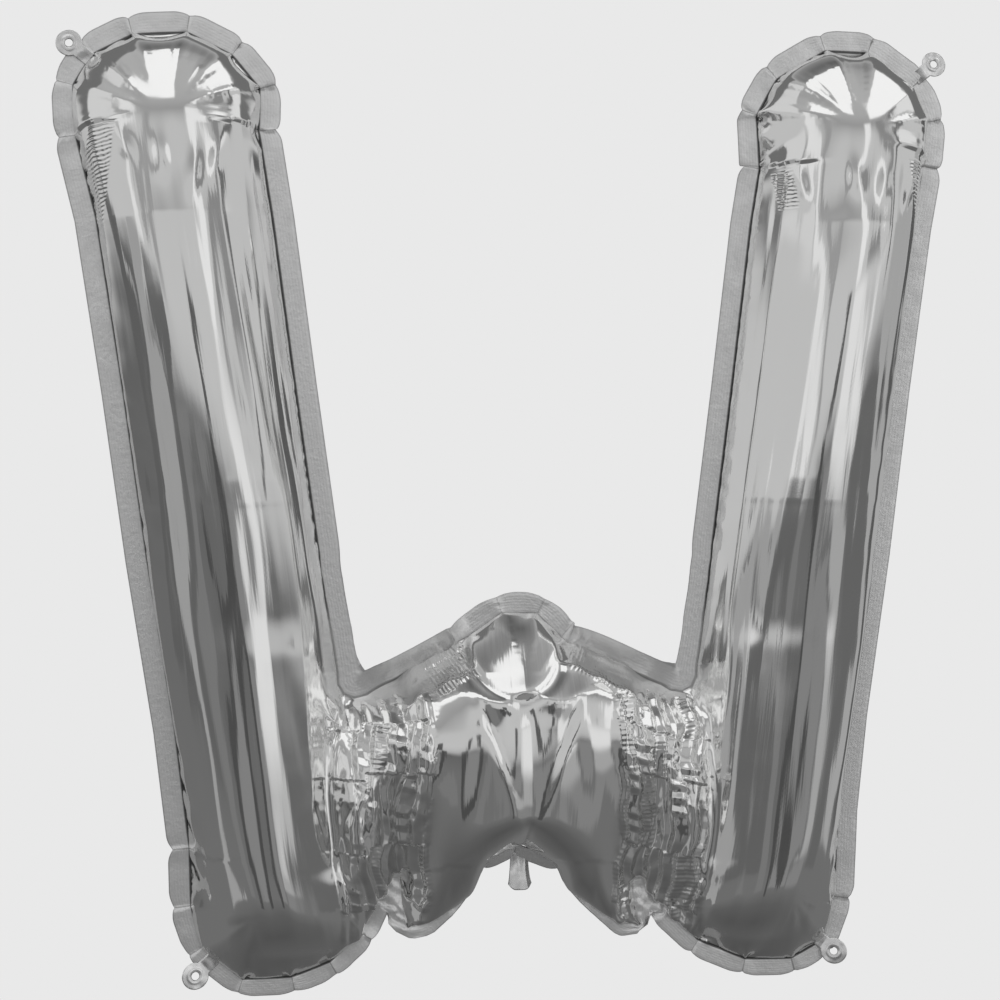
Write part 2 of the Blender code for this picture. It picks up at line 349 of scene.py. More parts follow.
class Film:
    """Two welded films: flat places, places in space, and the triangles of front, rear and weld."""

    def __init__(self, step):
        flat, faces, panel, inner = flat_film(step)
        doubled = np.where(inner)[0]
        rear = np.arange(len(flat))
        rear[doubled] = len(flat) + np.arange(len(doubled))
        self.flat = np.vstack([flat, flat[doubled]])
        self.front = faces[panel]
        self.rear = rear[faces[panel]][:, ::-1]
        self.weld = faces[~panel]
        self.at = np.stack([self.flat[:, 0], np.zeros(len(self.flat)), self.flat[:, 1]], axis=1)
        self.at[doubled, 1] = -FIRST_GAP
        self.at[len(flat):, 1] = FIRST_GAP
        self.speed = np.zeros_like(self.at)
        self.held = {}
        self.paths = {}

    def refine(self):
        """Splits each triangle into four."""
        faces = np.vstack([self.front, self.rear, self.weld])
        edges = edges_of(faces)
        size = len(self.flat)
        key = edges[:, 0].astype(np.int64) * size + edges[:, 1]

        def middle(i, j):
            pair = np.sort(np.stack([faces[:, i], faces[:, j]], axis=1), axis=1)
            return size + np.searchsorted(key, pair[:, 0].astype(np.int64) * size + pair[:, 1])

        ab, bc, ca = middle(0, 1), middle(1, 2), middle(2, 0)
        a, b, c = faces.T
        split = np.stack([a, ab, ca, ab, b, bc, ca, bc, c, ab, bc, ca], axis=1).reshape(-1, 3)
        for name in ("flat", "at", "speed"):
            old = getattr(self, name)
            setattr(self, name, np.vstack([old, (old[edges[:, 0]] + old[edges[:, 1]]) / 2]))
        cuts = np.cumsum([len(self.front), len(self.rear)]) * 4
        self.front, self.rear, self.weld = np.split(split, cuts)

    def seam_loop(self):
        """Indices of the seam's points in order round the letter, anticlockwise from the front."""
        ends = sides_of(self.front)
        key = np.sort(ends, axis=1)
        whole = key[:, 0].astype(np.int64) * len(self.flat) + key[:, 1]
        _, first, count = np.unique(whole, return_index=True, return_counts=True)
        follow = dict(ends[first[count == 1]].tolist())
        loop = [min(follow)]
        while len(loop) < len(follow):
            loop.append(follow[loop[-1]])
        return np.array(loop)

    def hold_seam(self):
        """Finds where the seam's points go between the corners of each stretch."""
        loop = self.seam_loop()
        flat = self.flat[loop]
        run = run_round(flat)
        total = run[-1]
        slid = bool(self.paths)
        old_paths, self.paths, self.held, self.corners = self.paths, {}, {}, []

        def reached(x, z):
            return run[int(np.argmin(np.hypot(flat[:, 0] - x, flat[:, 1] - z)))]

        kinks = reached(-KINK.x, KINK.y), reached(KINK.x, KINK.y)
        inner = reached(-INNER_SIDE.x, INNER_SIDE.y), reached(*INNER_SIDE)
        outer = reached(-OUTER_SIDE.x, OUTER_SIDE.y), reached(*OUTER_SIDE)
        ends = {
            "left_top": (inner[0], outer[0]),
            "left_foot": (outer[0], kinks[0] - LEFT_CLEAR),
            "right_foot": (kinks[1] + RIGHT_CLEAR, outer[1]),
            "right_top": (outer[1], inner[1]),
        }
        for name, places in SEAM_CORNERS.items():
            path = np.array(places)
            lengths = np.linalg.norm(np.diff(path, axis=0), axis=1)
            straight = lengths > LONG_SIDE
            if slid:
                # The corners are where the seam has slid to
                ids = old_paths[name]
                seam = self.at[loop][:, [0, 2]]
                mine = np.isin(loop, ids)
                arcs = [run[:-1][mine][np.argmin(np.linalg.norm(seam[mine] - c, axis=1))] for c in path]
                start = arcs[0]
                spans = np.diff(arcs) % total
            elif name in ends:
                start, last = ends[name]
                side = lengths[straight].sum() * SIDE_GATHER
                gather = ((last - start) % total - side) / lengths[~straight].sum()
                spans = lengths * np.where(straight, SIDE_GATHER, gather)
            else:
                spans = lengths * SIDE_GATHER
                start = reached(0, PEAK.y if name == "peak" else NOTCH.y) - APEX[name] * SIDE_GATHER
            marks, travel = [0.0], [0.0]
            for span, length, long in zip(spans, lengths, straight):
                spare = span - length * SIDE_GATHER
                if slid and not long and spare > LEAST_TUCK:
                    # The spare film is tucked in beside the corners
                    tuck = min(spare / 2 / (1 - TUCK * SIDE_GATHER), MOST_TUCK * span)
                    marks += [marks[-1] + tuck, marks[-1] + span - tuck]
                    travel += [travel[-1] + tuck * TUCK, travel[-1] + length - tuck * TUCK]
                    marks.append(marks[-1] + tuck)
                    travel.append(travel[-1] + tuck * TUCK)
                else:
                    marks.append(marks[-1] + span)
                    travel.append(travel[-1] + length)
            along = (run[:-1] - start) % total
            on_it = along <= marks[-1] + 1e-9
            went = np.interp(along[on_it], marks, travel)
            reach = np.concatenate([[0], np.cumsum(lengths)])
            x = np.interp(went, reach, path[:, 0])
            z = np.interp(went, reach, path[:, 1])
            self.held.update(zip(loop[on_it].tolist(), zip(x, z)))
            self.paths[name] = loop[on_it]
            # The weld creases at a corner beside a short chord
            places = (start + np.concatenate([[0], np.cumsum(spans)])) % total
            short = np.concatenate([[False], ~straight, [False]])
            self.corners += places[short[1:] | short[:-1]].tolist()

    def smooth(self, times, share):
        """Evens out the panels by a share at each point, without moving the seam."""
        pairs = edges_of(np.vstack([self.front, self.rear]))
        size = len(self.flat)
        count = np.bincount(pairs.ravel(), minlength=size)
        free = np.where(count > 0)[0]
        free = np.setdiff1d(free, np.unique(self.weld))
        share = np.broadcast_to(share, size)[free, None]
        for _ in range(times):
            total = np.zeros_like(self.at)
            for axis in range(3):
                total[:, axis] = np.bincount(pairs[:, 0], self.at[pairs[:, 1], axis], size)
                total[:, axis] += np.bincount(pairs[:, 1], self.at[pairs[:, 0], axis], size)
            self.at[free] += share * 0.5 * (total[free] / count[free, None] - self.at[free])

    def constraints(self, press, bending):
        """Groups of (ends, lengths, pull, push) that keep the film from stretching."""
        size = len(self.flat)
        in_weld = np.zeros(size, bool)
        in_weld[np.unique(self.weld)] = True
        in_panel = np.zeros(size, bool)
        in_panel[np.unique(np.vstack([self.front, self.rear]))] = True
        self.only_weld = in_weld & ~in_panel
        self.on_seam = in_weld & in_panel
        pairs = edges_of(np.vstack([self.front, self.rear, self.weld]))
        lengths = np.linalg.norm(self.flat[pairs[:, 0]] - self.flat[pairs[:, 1]], axis=1)
        self.spacing = lengths.mean()
        push = np.where(in_weld[pairs[:, 0]] & in_weld[pairs[:, 1]], WELD_PRESS, press)
        groups = []
        for g in colours(pairs, size):
            groups.append((pairs[g, 0].copy(), pairs[g, 1].copy(), lengths[g], 0.5, 0.5 * push[g]))
        bends = np.vstack([across_edges(f) for f in (self.front, self.rear, self.weld)])
        spans = np.linalg.norm(self.flat[bends[:, 0]] - self.flat[bends[:, 1]], axis=1)
        for g in colours(bends, size):
            groups.append((bends[g, 0].copy(), bends[g, 1].copy(), spans[g], 0.5 * bending, 0.5 * bending))
        return groups

    def push_out(self):
        """Push of the gas on each point, per unit of the film it carries."""
        faces = np.vstack([self.front, self.rear])
        a, b, c = (self.at[faces[:, k]] for k in range(3))
        normal = np.cross(b - a, c - a)
        out = np.zeros_like(self.at)
        for k in range(3):
            for axis in range(3):
                out[:, axis] += np.bincount(faces[:, k], normal[:, axis], len(self.at))
        return out / (6.0 * HEX_SHARE * self.spacing**2)

    def inflate(self, steps, gas, damping, press, bending, sliding):
        groups = self.constraints(press, bending)
        gas *= (self.spacing / GAS_STEP) ** 2
        held = np.array(list(self.held), int)
        goal = np.array(list(self.held.values())).reshape(-1, 2)
        start = self.at[held][:, [0, 2]]
        for step in range(steps):
            if step % 4 == 0:
                push = self.push_out()
            old = self.at
            self.at = self.at + self.speed + push * gas
            for i, j, length, pull, press_back in groups if step % 2 == 0 else groups[::-1]:
                d = self.at[i] - self.at[j]
                now = np.sqrt((d * d).sum(axis=1))
                over = (now - length) / now
                d *= (np.where(over > 0, pull, press_back) * over)[:, None]
                self.at[i] -= d
                self.at[j] += d
            self.at[self.only_weld, 1] *= 1 - WELD_FLATTEN
            self.at[self.on_seam, 1] *= 1 - SEAM_FLATTEN
            drawn = min(1.0, (step + 1) / DRAW_STEPS)
            if drawn < 1 or not sliding:
                self.at[held, 0] = start[:, 0] + (goal[:, 0] - start[:, 0]) * drawn
                self.at[held, 2] = start[:, 1] + (goal[:, 1] - start[:, 1]) * drawn
            else:
                for name, ids in self.paths.items():
                    self.at[ids[:, None], [0, 2]] = nearest_on(SEAM_CORNERS[name], self.at[ids][:, [0, 2]])
            self.speed = (self.at - old) * damping


def inflated():
    film = Film(FIRST_STEP)
    levels = LEVELS
    for number, runs in enumerate(levels):
        if number:
            film.refine()
            film.smooth(SMOOTHINGS, 1.0)
            film.hold_seam()
        for run in runs:
            film.inflate(*run)
    return film


film = inflated()


class Seam:
    """The seam's points in order, and each film point's place beside it on the flat film."""

    def __init__(self, film):
        self.loop = film.seam_loop()
        flat = film.flat[self.loop]
        self.run = run_round(flat)
        self.length = self.run[-1]
        tree = KDTree(len(flat))
        for i, (x, z) in enumerate(flat):
            tree.insert((x, z, 0), i)
        tree.balance()
        nearest = np.array([tree.find((x, z, 0))[1] for x, z in film.flat])
        offset = film.flat - flat[nearest]
        along = unit(np.roll(flat, -1, axis=0) - np.roll(flat, 1, axis=0))
        self.at_run = (self.run[nearest] + (offset * along[nearest]).sum(axis=1)) % self.length
        self.distance = np.linalg.norm(offset, axis=1)
        corners = np.array(film.corners)
        gap = np.abs((self.at_run[:, None] - corners[None] + self.length / 2) % self.length - self.length / 2)
        self.corner_gap = gap.min(axis=1)
        self.held = np.isin(self.loop, list(film.held))

    def along_path(self, values, at):
        """Values on the seam's points, read between them."""
        closed = np.vstack([values, values[:1]])
        return np.stack([np.interp(at, self.run, closed[:, k]) for k in range(values.shape[1])], axis=1)

    def evened(self, values, reach):
        """Values on the seam's points, averaged over a reach to both sides."""
        count = max(1, round(reach / (self.length / len(self.loop))))
        window = np.hanning(2 * count + 3)[1:-1]
        window /= window.sum()
        rolled = [np.roll(values, k - count, axis=0) * w for k, w in enumerate(window)]
        return np.sum(rolled, axis=0)


seam = Seam(film)

# Evening of the film away from the seam, everywhere and in the legs' round ends: where it starts, its reach
# and its passes. The round ends lie below and above two heights on the flat film, outside the arms
CALM = (0.002, 0.020, 25)
CALM_ENDS = (0.004, 0.016, 45)
ENDS = (-0.330, 0.250)
ENDS_FADE = 0.030
FOOT_SIDE = KINK.x + 0.020
# Zones that are evened more: middle and half sizes on the flat film, then the same three values
CALM_ZONES = [
    (0.185, -0.250, 0.060, 0.120, 0.010, 0.030, 120),
    (0.235, 0.170, 0.050, 0.150, 0.001, 0.012, 90),
    (0.000, -0.350, 0.060, 0.045, 0.000, 0.008, 60),
]
ZONE_EDGE = 3

# Each head is evened into one dome: the heights where that begins and is full, its share, how far inwards and
# round the film is averaged, up to where, and where it starts beside the seam. Its middle is evened once more
HEAD_FOOT = 0.250
HEAD_FULL = 0.330
HEAD_SHARE = 0.85
HEAD_BAND = 0.004
HEAD_TURN = 0.40
HEAD_MIDDLE = 0.90
HEAD_START = (0.008, 0.018)
HEAD_EVENED = (0.040, 0.030, 110)

# How much of its bulge past the seam the film keeps in the notch, how that eases in, and how far out
BULGE_KEPT = 0.60
BULGE_EASE = 0.004
BULGE_TOP = -0.250
NOTCH_REACH = 0.050

# The legs' round section: where it is read, its points, its share across and down a leg and beside the seam,
# then how the film below the legs' middle is evened after it
SECTION_AT = -0.075
SECTION_HALF = 0.012
SECTION_POINTS = 30
SECTION_ACROSS = ([-0.104, -0.082, -0.020, 0.020], [0.0, 1.0, 1.0, 0.0])
SECTION_DOWN = ([-0.400, -0.320, -0.130, -0.100], [0.0, 1.0, 1.0, 0.0])
SECTION_FROM_SEAM = 0.025
SECTION_EVENED = (0.010, 0.020, 12)

# The weld outside the seam: its dip at each corner as a share of its width, the step of its laps, its curled
# rim, and how far the held seam fades into the loose one. Its direction and depth are evened along the seam
WELD_DIP = 0.22
DIP_REACH = 0.014
LAP_STEP = 0.0011
LAP_REACH = 0.016
RIM_CURL = 0.0004
RIM_REACH = 0.0020
FRAY = 0.018
TANGENT_EVENED = 0.010
DEPTH_EVENED = 0.012
# Below this height the seam belongs to the notch, the arms and the feet
UNDERSIDE = -0.280
# The weld leans forward on the shoulders: its slope, its span to the sides, and its middle and half height
SHOULDER_LEAN = 0.70
SHOULDER_SPAN = (0.040, 0.060, 0.110, 0.140)
SHOULDER_LEVEL = (-0.140, 0.050)
# It curls back in the notch, by an angle and between two distances from the middle
NOTCH_CURL = 0.80
NOTCH_SPAN = (0.045, 0.075)
# It is narrower round the feet, by a share that grows between two heights
FOOT_NARROW = 0.18
FOOT_SPAN = (-0.400, -0.360)
# The loose weld between an arm and a foot is crumpled: height, and crumples in a metre
LOOSE = 0.0048
LOOSE_FINE = 160
# The painted shade line along the seam is weaker in the forks between the middle and the legs: share, half
# width, top and evening
FORK_SEAM_SHADE = 0.5
FORK_HALF = 0.190
FORK_TOP = -0.100
SEAM_SHADE_EVENED = 0.020


def beside_seam(start, reach):
    """A share for each point of the film that grows from 0 to 1 over a reach beside the seam."""
    return np.clip((seam.distance - start) / reach, 0, 1)


def draw_in_bulge():
    """Draws in the film that bulges past the seam in the notch."""
    line = film.at[seam.loop][:, [0, 2]]
    panel = np.setdiff1d(np.unique(np.vstack([film.front, film.rear])), seam.loop)
    near = panel[(np.abs(film.at[panel, 0]) < NOTCH_REACH) & (film.at[panel, 2] < BULGE_TOP)]
    near = near[~within(line, film.at[near][:, [0, 2]])]
    place = film.at[near][:, [0, 2]]
    offset = place - nearest_on(SEAM_CORNERS["notch"], place)
    far = np.linalg.norm(offset, axis=1)
    drawn = (1 - BULGE_KEPT) * (far - BULGE_EASE * (1 - np.exp(-far / BULGE_EASE)))
    fade = np.clip(2 * (1 - np.abs(place[:, 0]) / NOTCH_REACH), 0, 1)
    film.at[near[:, None], [0, 2]] -= offset * (fade * drawn / np.maximum(far, 1e-6))[:, None]


def lay_weld():
    """Lays the weld flat outside the held seam, narrower and lapped at the seam's corners."""
    places = film.at[seam.loop]
    flat_places = places[:, [0, 2]]
    tangent = np.roll(flat_places, -2, axis=0) - np.roll(flat_places, 2, axis=0)
    tangent = unit(seam.evened(tangent, TANGENT_EVENED))
    normal = np.stack([tangent[:, 1], -tangent[:, 0]], axis=1)
    depth = seam.evened(places[:, 1:2], DEPTH_EVENED)
    weight = np.clip(seam.evened(seam.held[:, None].astype(float), FRAY) * 2 - 1, 0, 1)

    only = np.setdiff1d(np.unique(film.weld), seam.loop)
    at = seam.at_run[only]
    out = seam.distance[only]
    base = seam.along_path(np.hstack([flat_places, depth]), at)
    heading = unit(seam.along_path(normal, at))
    dip = 1 - WELD_DIP * np.clip(1 - seam.corner_gap[only] / DIP_REACH, 0, 1) ** 2

    narrow = np.interp(base[:, 1], FOOT_SPAN, (FOOT_NARROW, 0)) * (np.abs(base[:, 0]) > KINK.x)
    dip *= 1 - narrow
    in_notch = np.interp(np.abs(base[:, 0]), NOTCH_SPAN, (1, 0)) * (base[:, 1] < UNDERSIDE)
    dip *= np.cos(NOTCH_CURL * in_notch)

    # Each lap steps from the back to the front as it passes a corner
    corners = np.sort(np.array(film.corners))
    before = np.searchsorted(corners, at) - 1
    since = (at - corners[before]) % seam.length
    until = (corners[(before + 1) % len(corners)] - at) % seam.length
    lap = np.clip(1 - since / LAP_REACH, 0, 1) - np.clip(1 - until / LAP_REACH, 0, 1)
    rise = np.clip(out / MARGIN, 0, 1)
    rim = np.clip((out - MARGIN + RIM_REACH) / RIM_REACH, 0, 1) ** 2
    laid = np.empty((len(only), 3))
    laid[:, [0, 2]] = base[:, :2] + heading * (out * dip)[:, None]
    laid[:, 1] = base[:, 2] * (1 - 0.5 * rise) - LAP_STEP * lap * rise**0.5 + RIM_CURL * rim
    laid[:, 1] += out * np.sin(NOTCH_CURL * in_notch)
    share = seam.along_path(weight, at)
    film.at[only] += (laid - film.at[only]) * share
    level, half = SHOULDER_LEVEL
    beside = np.interp(np.abs(base[:, 0]), SHOULDER_SPAN, (0, 1, 1, 0)) * (np.abs(base[:, 1] - level) < half)
    film.at[only, 1] -= SHOULDER_LEAN * out * beside

    # Loose film between the arms and the feet is crumpled
    for i, loose in zip(only, 1 - share[:, 0]):
        x, _, z = film.at[i]
        if loose > 0.05 and z < UNDERSIDE:
            x, z = x * LOOSE_FINE, z * LOOSE_FINE
            film.at[i, 1] += LOOSE * loose * noise.noise(Vector((x, z, 2)))
            film.at[i, 0] += 0.5 * LOOSE * loose * noise.noise(Vector((x, z, 9)))

    # Strength of the painted shade line along the seam, kept as its pressed weight: full where the weld is
    # laid, and less in the forks
    pressed = np.where(flat_places[:, 1] < UNDERSIDE, weight[:, 0], 1.0)
    in_fork = (flat_places[:, 1] > UNDERSIDE) & (flat_places[:, 1] < FORK_TOP)
    in_fork &= np.abs(flat_places[:, 0]) < FORK_HALF
    pressed = np.where(in_fork, FORK_SEAM_SHADE, pressed)
    seam.pressed = seam.evened(pressed[:, None], SEAM_SHADE_EVENED)[:, 0]


def calm():
    """Evens out the film, most of all in the legs' round ends."""
    height = film.flat[:, 1]
    in_ends = np.clip((height - ENDS[1]) / ENDS_FADE, 0, 1)
    in_ends += np.clip((ENDS[0] - height) / ENDS_FADE, 0, 1) * (np.abs(film.flat[:, 0]) > FOOT_SIDE)
    for (start, reach, times), share in ((CALM, 1.0), (CALM_ENDS, in_ends)):
        film.smooth(times, share * beside_seam(start, reach))
    for x, z, half_wide, half_high, start, reach, times in CALM_ZONES:
        off = np.maximum(np.abs(np.abs(film.flat[:, 0]) - x) / half_wide, np.abs(height - z) / half_high)
        share = np.clip((1 - off) * ZONE_EDGE, 0, 1)
        film.smooth(times, share * beside_seam(start, reach))


def quarters(across):
    """The points of each film on each side of the letter's middle."""
    for faces in (film.front, film.rear):
        ids = np.unique(faces)
        for side in (-1, 1):
            yield side, ids[across[ids] * side > 0]


def round_heads():
    """Evens each head into one dome, away from its seam."""
    in_head = np.clip((film.flat[:, 1] - HEAD_FOOT) / (HEAD_FULL - HEAD_FOOT), 0, 1)
    for side, ids in quarters(film.flat[:, 0]):
        ids = ids[film.flat[ids, 1] > HEAD_FOOT]
        place = film.flat[ids] - np.array((side * TOP.x, TOP.y))
        turn = np.arctan2(place[:, 0], place[:, 1]) / HEAD_TURN
        turn *= np.clip(1 - seam.distance[ids] / (HEAD_MIDDLE * HALF_TOP), 0, 1)
        inwards = seam.distance[ids] / HEAD_BAND
        near = np.exp(-((turn[:, None] - turn) ** 2) - (inwards[:, None] - inwards) ** 2)
        dome = near @ film.at[ids, 1] / near.sum(axis=1)
        share = beside_seam(*HEAD_START)[ids] * HEAD_SHARE * in_head[ids]
        film.at[ids, 1] += share * (dome - film.at[ids, 1])
    start, reach, times = HEAD_EVENED
    film.smooth(times, in_head * beside_seam(start, reach))


def keep_legs_round():
    """Carries each leg's round section down past its fork, where the arm joins it."""
    up = np.array((TOP - FOOT).normalized())
    out = np.array([up[1], -up[0]])
    place = np.stack([np.abs(film.at[:, 0]) - FOOT.x, film.at[:, 2] - FOOT.y], axis=1)
    across = place @ out
    for _, ids in quarters(film.at[:, 0]):
        level = ids[np.abs(film.at[ids, 2] - SECTION_AT) < SECTION_HALF]
        level = level[np.argsort(across[level])]
        count = len(level) // SECTION_POINTS * SECTION_POINTS
        groups = level[:count].reshape(SECTION_POINTS, -1)
        depth = np.interp(across[ids], across[groups].mean(axis=1), film.at[groups, 1].mean(axis=1))
        share = np.interp(across[ids], *SECTION_ACROSS) * np.interp(film.at[ids, 2], *SECTION_DOWN)
        share *= beside_seam(0, SECTION_FROM_SEAM)[ids]
        film.at[ids, 1] += share * (depth - film.at[ids, 1])
    start, reach, times = SECTION_EVENED
    film.smooth(times, beside_seam(start, reach) * (film.flat[:, 1] < 0))


calm()
round_heads()
keep_legs_round()
draw_in_bulge()
lay_weld()

# Facets of film between the corners of the weld: rise towards the corners, where it starts and ends beside
# the seam, the widest facet, then the pleat in from each corner, and the shares at the crown and the feet
FACET = 0.0016
FACET_REACH = (0.003, 0.020, 0.050, 0.090)
FACET_WIDTH = 0.075
PLEAT = 0.0007
PLEAT_WIDTH = 0.0026
PLEAT_REACH = 0.018
PLEAT_START = 0.003
CROWN_FACET = 0.4
FOOT_FACET = 0.5

# Crumpled film beside each crotch: its middles, half widths, ends and edges, and how it wanders sideways
CRUMPLE_MIDDLES = (-0.1275, 0.1250)
CRUMPLE_HALF = (0.0470, 0.0320)
CRUMPLE_TOP = -0.1750
CRUMPLE_FOOT = -0.3920
CRUMPLE_FADES = (-0.008, 0.008)
CRUMPLE_SIDES = (0.90, 1.12)
CRUMPLE_WANDER = (0.006, 30)
CRUMPLE_FROM_SEAM = (0.0, 0.010)
# Its upright folds and their drift, the heights where they step, and the rise at each step
FOLDS = 6
FOLD_HEIGHT = 0.0040
FOLD_DRIFT = (0.5, 1.5, 26)
STEP_HEIGHTS = (-0.2020, -0.2420, -0.3060, -0.3600)
STEP_JITTER = 0.016
STEP_RISE = 0.0016
# Dents and fine rungs across some of the folds: spacing, height and how many folds go without
DENT_SPACING = 0.0120
DENT_HEIGHT = 0.0024
DENT_SPARED = 0.45
RUNG_SPACING = 0.0040
RUNG_HEIGHT = 0.00018
RUNG_SPARED = 0.72
# A low ridge along the band's edges, and fine unevenness: height, and spots in a metre across and up
EDGE_HEIGHT = 0.0005
EDGE_PLACE = (0.94, 0.07)
UNEVEN = (0.0009, 130, 90)

# A leg begins here on its inner side, across from its middle
LEG_EDGE = (-0.115, -0.080)

# Soft ripples that run along each leg: spacing across and along, and height. They fade in the round ends
RIPPLES = [
    (0.0260, 0.300, 0.00160), (0.0160, 0.100, 0.00080), (0.0120, 0.160, 0.00080), (0.0056, 0.080, 0.00014),
]
RIPPLE_HEAD = (0.290, 0.350)
RIPPLE_FOOT = (-0.420, -0.330)
RIPPLE_FROM_SEAM = (0.004, 0.030)

# One long ridge down the right leg: place and half width across, height, and the heights it fades between
RIDGE = (-0.004, 0.032, 0.0070)
RIDGE_FADE = (-0.120, 0.000, 0.180, 0.290)

# Drops of gathered film below each head: place, half width and half length, lean and height
DROPS_FOOT = 0.200
DROPS = [
    (-0.3430, 0.3050, 0.0070, 0.0140, 0.35, 0.0020),
    (-0.3130, 0.2970, 0.0060, 0.0160, 0.10, 0.0021),
    (-0.2860, 0.2800, 0.0055, 0.0180, -0.10, 0.0020),
    (-0.2660, 0.2980, 0.0045, 0.0150, -0.20, 0.0014),
    (0.2540, 0.2800, 0.0050, 0.0160, 0.20, 0.0018),
    (0.2980, 0.2860, 0.0060, 0.0150, 0.05, 0.0020),
    (0.3250, 0.2820, 0.0055, 0.0160, -0.20, 0.0020),
    (0.3500, 0.2700, 0.0045, 0.0150, -0.30, 0.0015),
]

# The middle's round crown ends in a crease: its middle, radius and edge, the crease's depth and width, and
# where it fades above the crown's middle
CROWN = (-0.008, -0.1370)
CROWN_RADIUS = 0.040
CROWN_EDGE = 0.004
CROWN_CREASE = 0.0020
CROWN_WIDTH = 0.0045
CROWN_FADE = (-0.015, 0.010)
# The film is flatter on the shoulders beside the crown: how deep, how far from the seam, and down to where.
# It ends in a wavy edge: height, width as a share, wave and spacing of the waves
SHOULDER_FLAT = 0.0070
SHOULDER_REACH = 0.045
SHOULDER_FOOT = -0.220
SHOULDER_EDGE = (0.0014, 0.10, 0.0016, 0.022)
# Upright folds below the crown: spacing, height and fan, and the heights where they begin and end
UPRIGHT = (0.024, 0.0042, 2.5)
UPRIGHT_FADE = (-0.320, -0.260, -0.200, -0.180)
# A crest across the middle: its height, how far it falls over and under it, its lift and its rounding, then
# the height and spacing of its waves
CREST = (-0.1770, 0.0300, 0.0450, 0.0120, 0.0030)
CREST_SCALLOP = (0.0040, 0.055)
# The middle's relief fades out towards the crumpled film
MIDDLE_FADE = (0.085, 0.115)

# Under the crest the film sinks in a wedge that narrows down to the notch: its point, spread and edge, and
# how much sooner the film falls inside it
WEDGE_POINT = (0.000, -0.2920)
WEDGE_SPREAD = 0.40
WEDGE_EDGE = 0.0060
WEDGE_PULL = 0.66
# A short crease runs from the wedge's point to the notch
NOTCH_CREASE = (0.0040, 0.0060)
NOTCH_CREASE_SPAN = (-0.345, -0.330, -0.300, -0.275)

# The arms bulge over the weld beside the notch: how far, how deep in, the direction, the place, and the top
ARM_BULGE = 0.0110
ARM_REACH = 0.060
ARM_WAY = (0.675, 0.738)
ARM_SPAN = (0.030, 0.055, 0.100, 0.125)
ARM_TOP = -0.260


def leg_place(x, z):
    """Place across and along a leg, in metres, of a place on the flat film."""
    up = (TOP - FOOT).normalized()
    across = (abs(x) - FOOT.x) * up.y - (z - FOOT.y) * up.x
    return across, (abs(x) - FOOT.x) * up.x + (z - FOOT.y) * up.y


def smooth_step(low, high, value):
    t = min(1.0, max(0.0, (value - low) / (high - low)))
    return t * t * (3 - 2 * t)


def window(span, value):
    """A share that rises between the first two of four values and falls between the last two."""
    first, full, fading, end = span
    return smooth_step(first, full, value) * (1 - smooth_step(fading, end, value))


def bell(value, half):
    """1 at 0, falling off to both sides."""
    return math.exp(-((value / half) ** 2))


def uneven(*place):
    """Smooth noise round 0 at a place."""
    return noise.noise(Vector(place))


def scatter(*cell):
    """A fixed number from 0 to 1 for a cell of whole numbers."""
    return 0.5 + 0.5 * noise.cell(Vector(cell) + Vector((0.31, 0.57, 0.73)))


def crumple_share(x, z):
    """Place across the crumpled band from -1 to 1, and how crumpled the film is."""
    down = (CRUMPLE_TOP - z) / (CRUMPLE_TOP - CRUMPLE_FOOT)
    half = CRUMPLE_HALF[0] + (CRUMPLE_HALF[1] - CRUMPLE_HALF[0]) * min(1.0, max(0.0, down))
    sideways, fine = CRUMPLE_WANDER
    wander = sideways * uneven(z * fine, math.copysign(3.0, x), 0)
    across = (x + wander - CRUMPLE_MIDDLES[x > 0]) / half
    ends = window([level + fade for level in (CRUMPLE_FOOT, CRUMPLE_TOP) for fade in CRUMPLE_FADES], z)
    return across, ends * (1 - smooth_step(*CRUMPLE_SIDES, abs(across)))


def crumple_height(x, z, side):
    """How far the crumpled film stands off at a place seen from the front."""
    across, share = crumple_share(x, z)
    if share <= 0:
        return 0.0
    seed = (1 if x > 0 else 2) + (10 if side > 0 else 0)
    shift, wide, tall = FOLD_DRIFT
    drift = shift * uneven(across * wide, z * tall, seed)
    place = (across + 1) / 2 * FOLDS + drift
    # Each fold steps at its own heights
    jitter = STEP_JITTER * (scatter(seed, math.floor(place / 2), 7) - 0.5)
    slanted = z + jitter + 0.5 * (across * CRUMPLE_HALF[0]) * (scatter(seed, 7, 0) - 0.4)
    row = sum(slanted < step for step in STEP_HEIGHTS)
    lean = 1.6 * (scatter(seed, row, 1) - 0.5)
    place += lean * (z - CRUMPLE_TOP) * 20 + 3 * scatter(seed, row, 2)
    fold = math.floor(place)
    crest = 0.30 + 0.40 * scatter(seed, row, fold)
    t = place - fold
    ridge = t / crest if t < crest else (1 - t) / (1 - crest)
    height = FOLD_HEIGHT * (0.25 + 0.75 * scatter(seed, fold, row + 5)) * ridge
    bounds = (CRUMPLE_TOP, *STEP_HEIGHTS, CRUMPLE_FOOT)
    depth = (bounds[row] - slanted) / (bounds[row] - bounds[row + 1])
    height += STEP_RISE * (depth - 0.5) * (0.3 + scatter(seed, row, fold + 9))
    if scatter(seed, fold, row + 20) > RUNG_SPARED:
        height += RUNG_HEIGHT * math.sin(2 * math.pi * z / RUNG_SPACING + 2 * drift)
    level = (z + 0.3 * place * DENT_SPACING) / DENT_SPACING + scatter(seed, fold, 40)
    if scatter(seed, fold, math.floor(level) + 60) > DENT_SPARED:
        height += DENT_HEIGHT * (1 - abs(2 * (level - math.floor(level)) - 1)) * scatter(seed, fold, 50)
    edge, half = EDGE_PLACE
    height += EDGE_HEIGHT * bell(abs(across) - edge, half)
    rise, wide, tall = UNEVEN
    return share * (height + rise * uneven(x * wide, z * tall, seed))


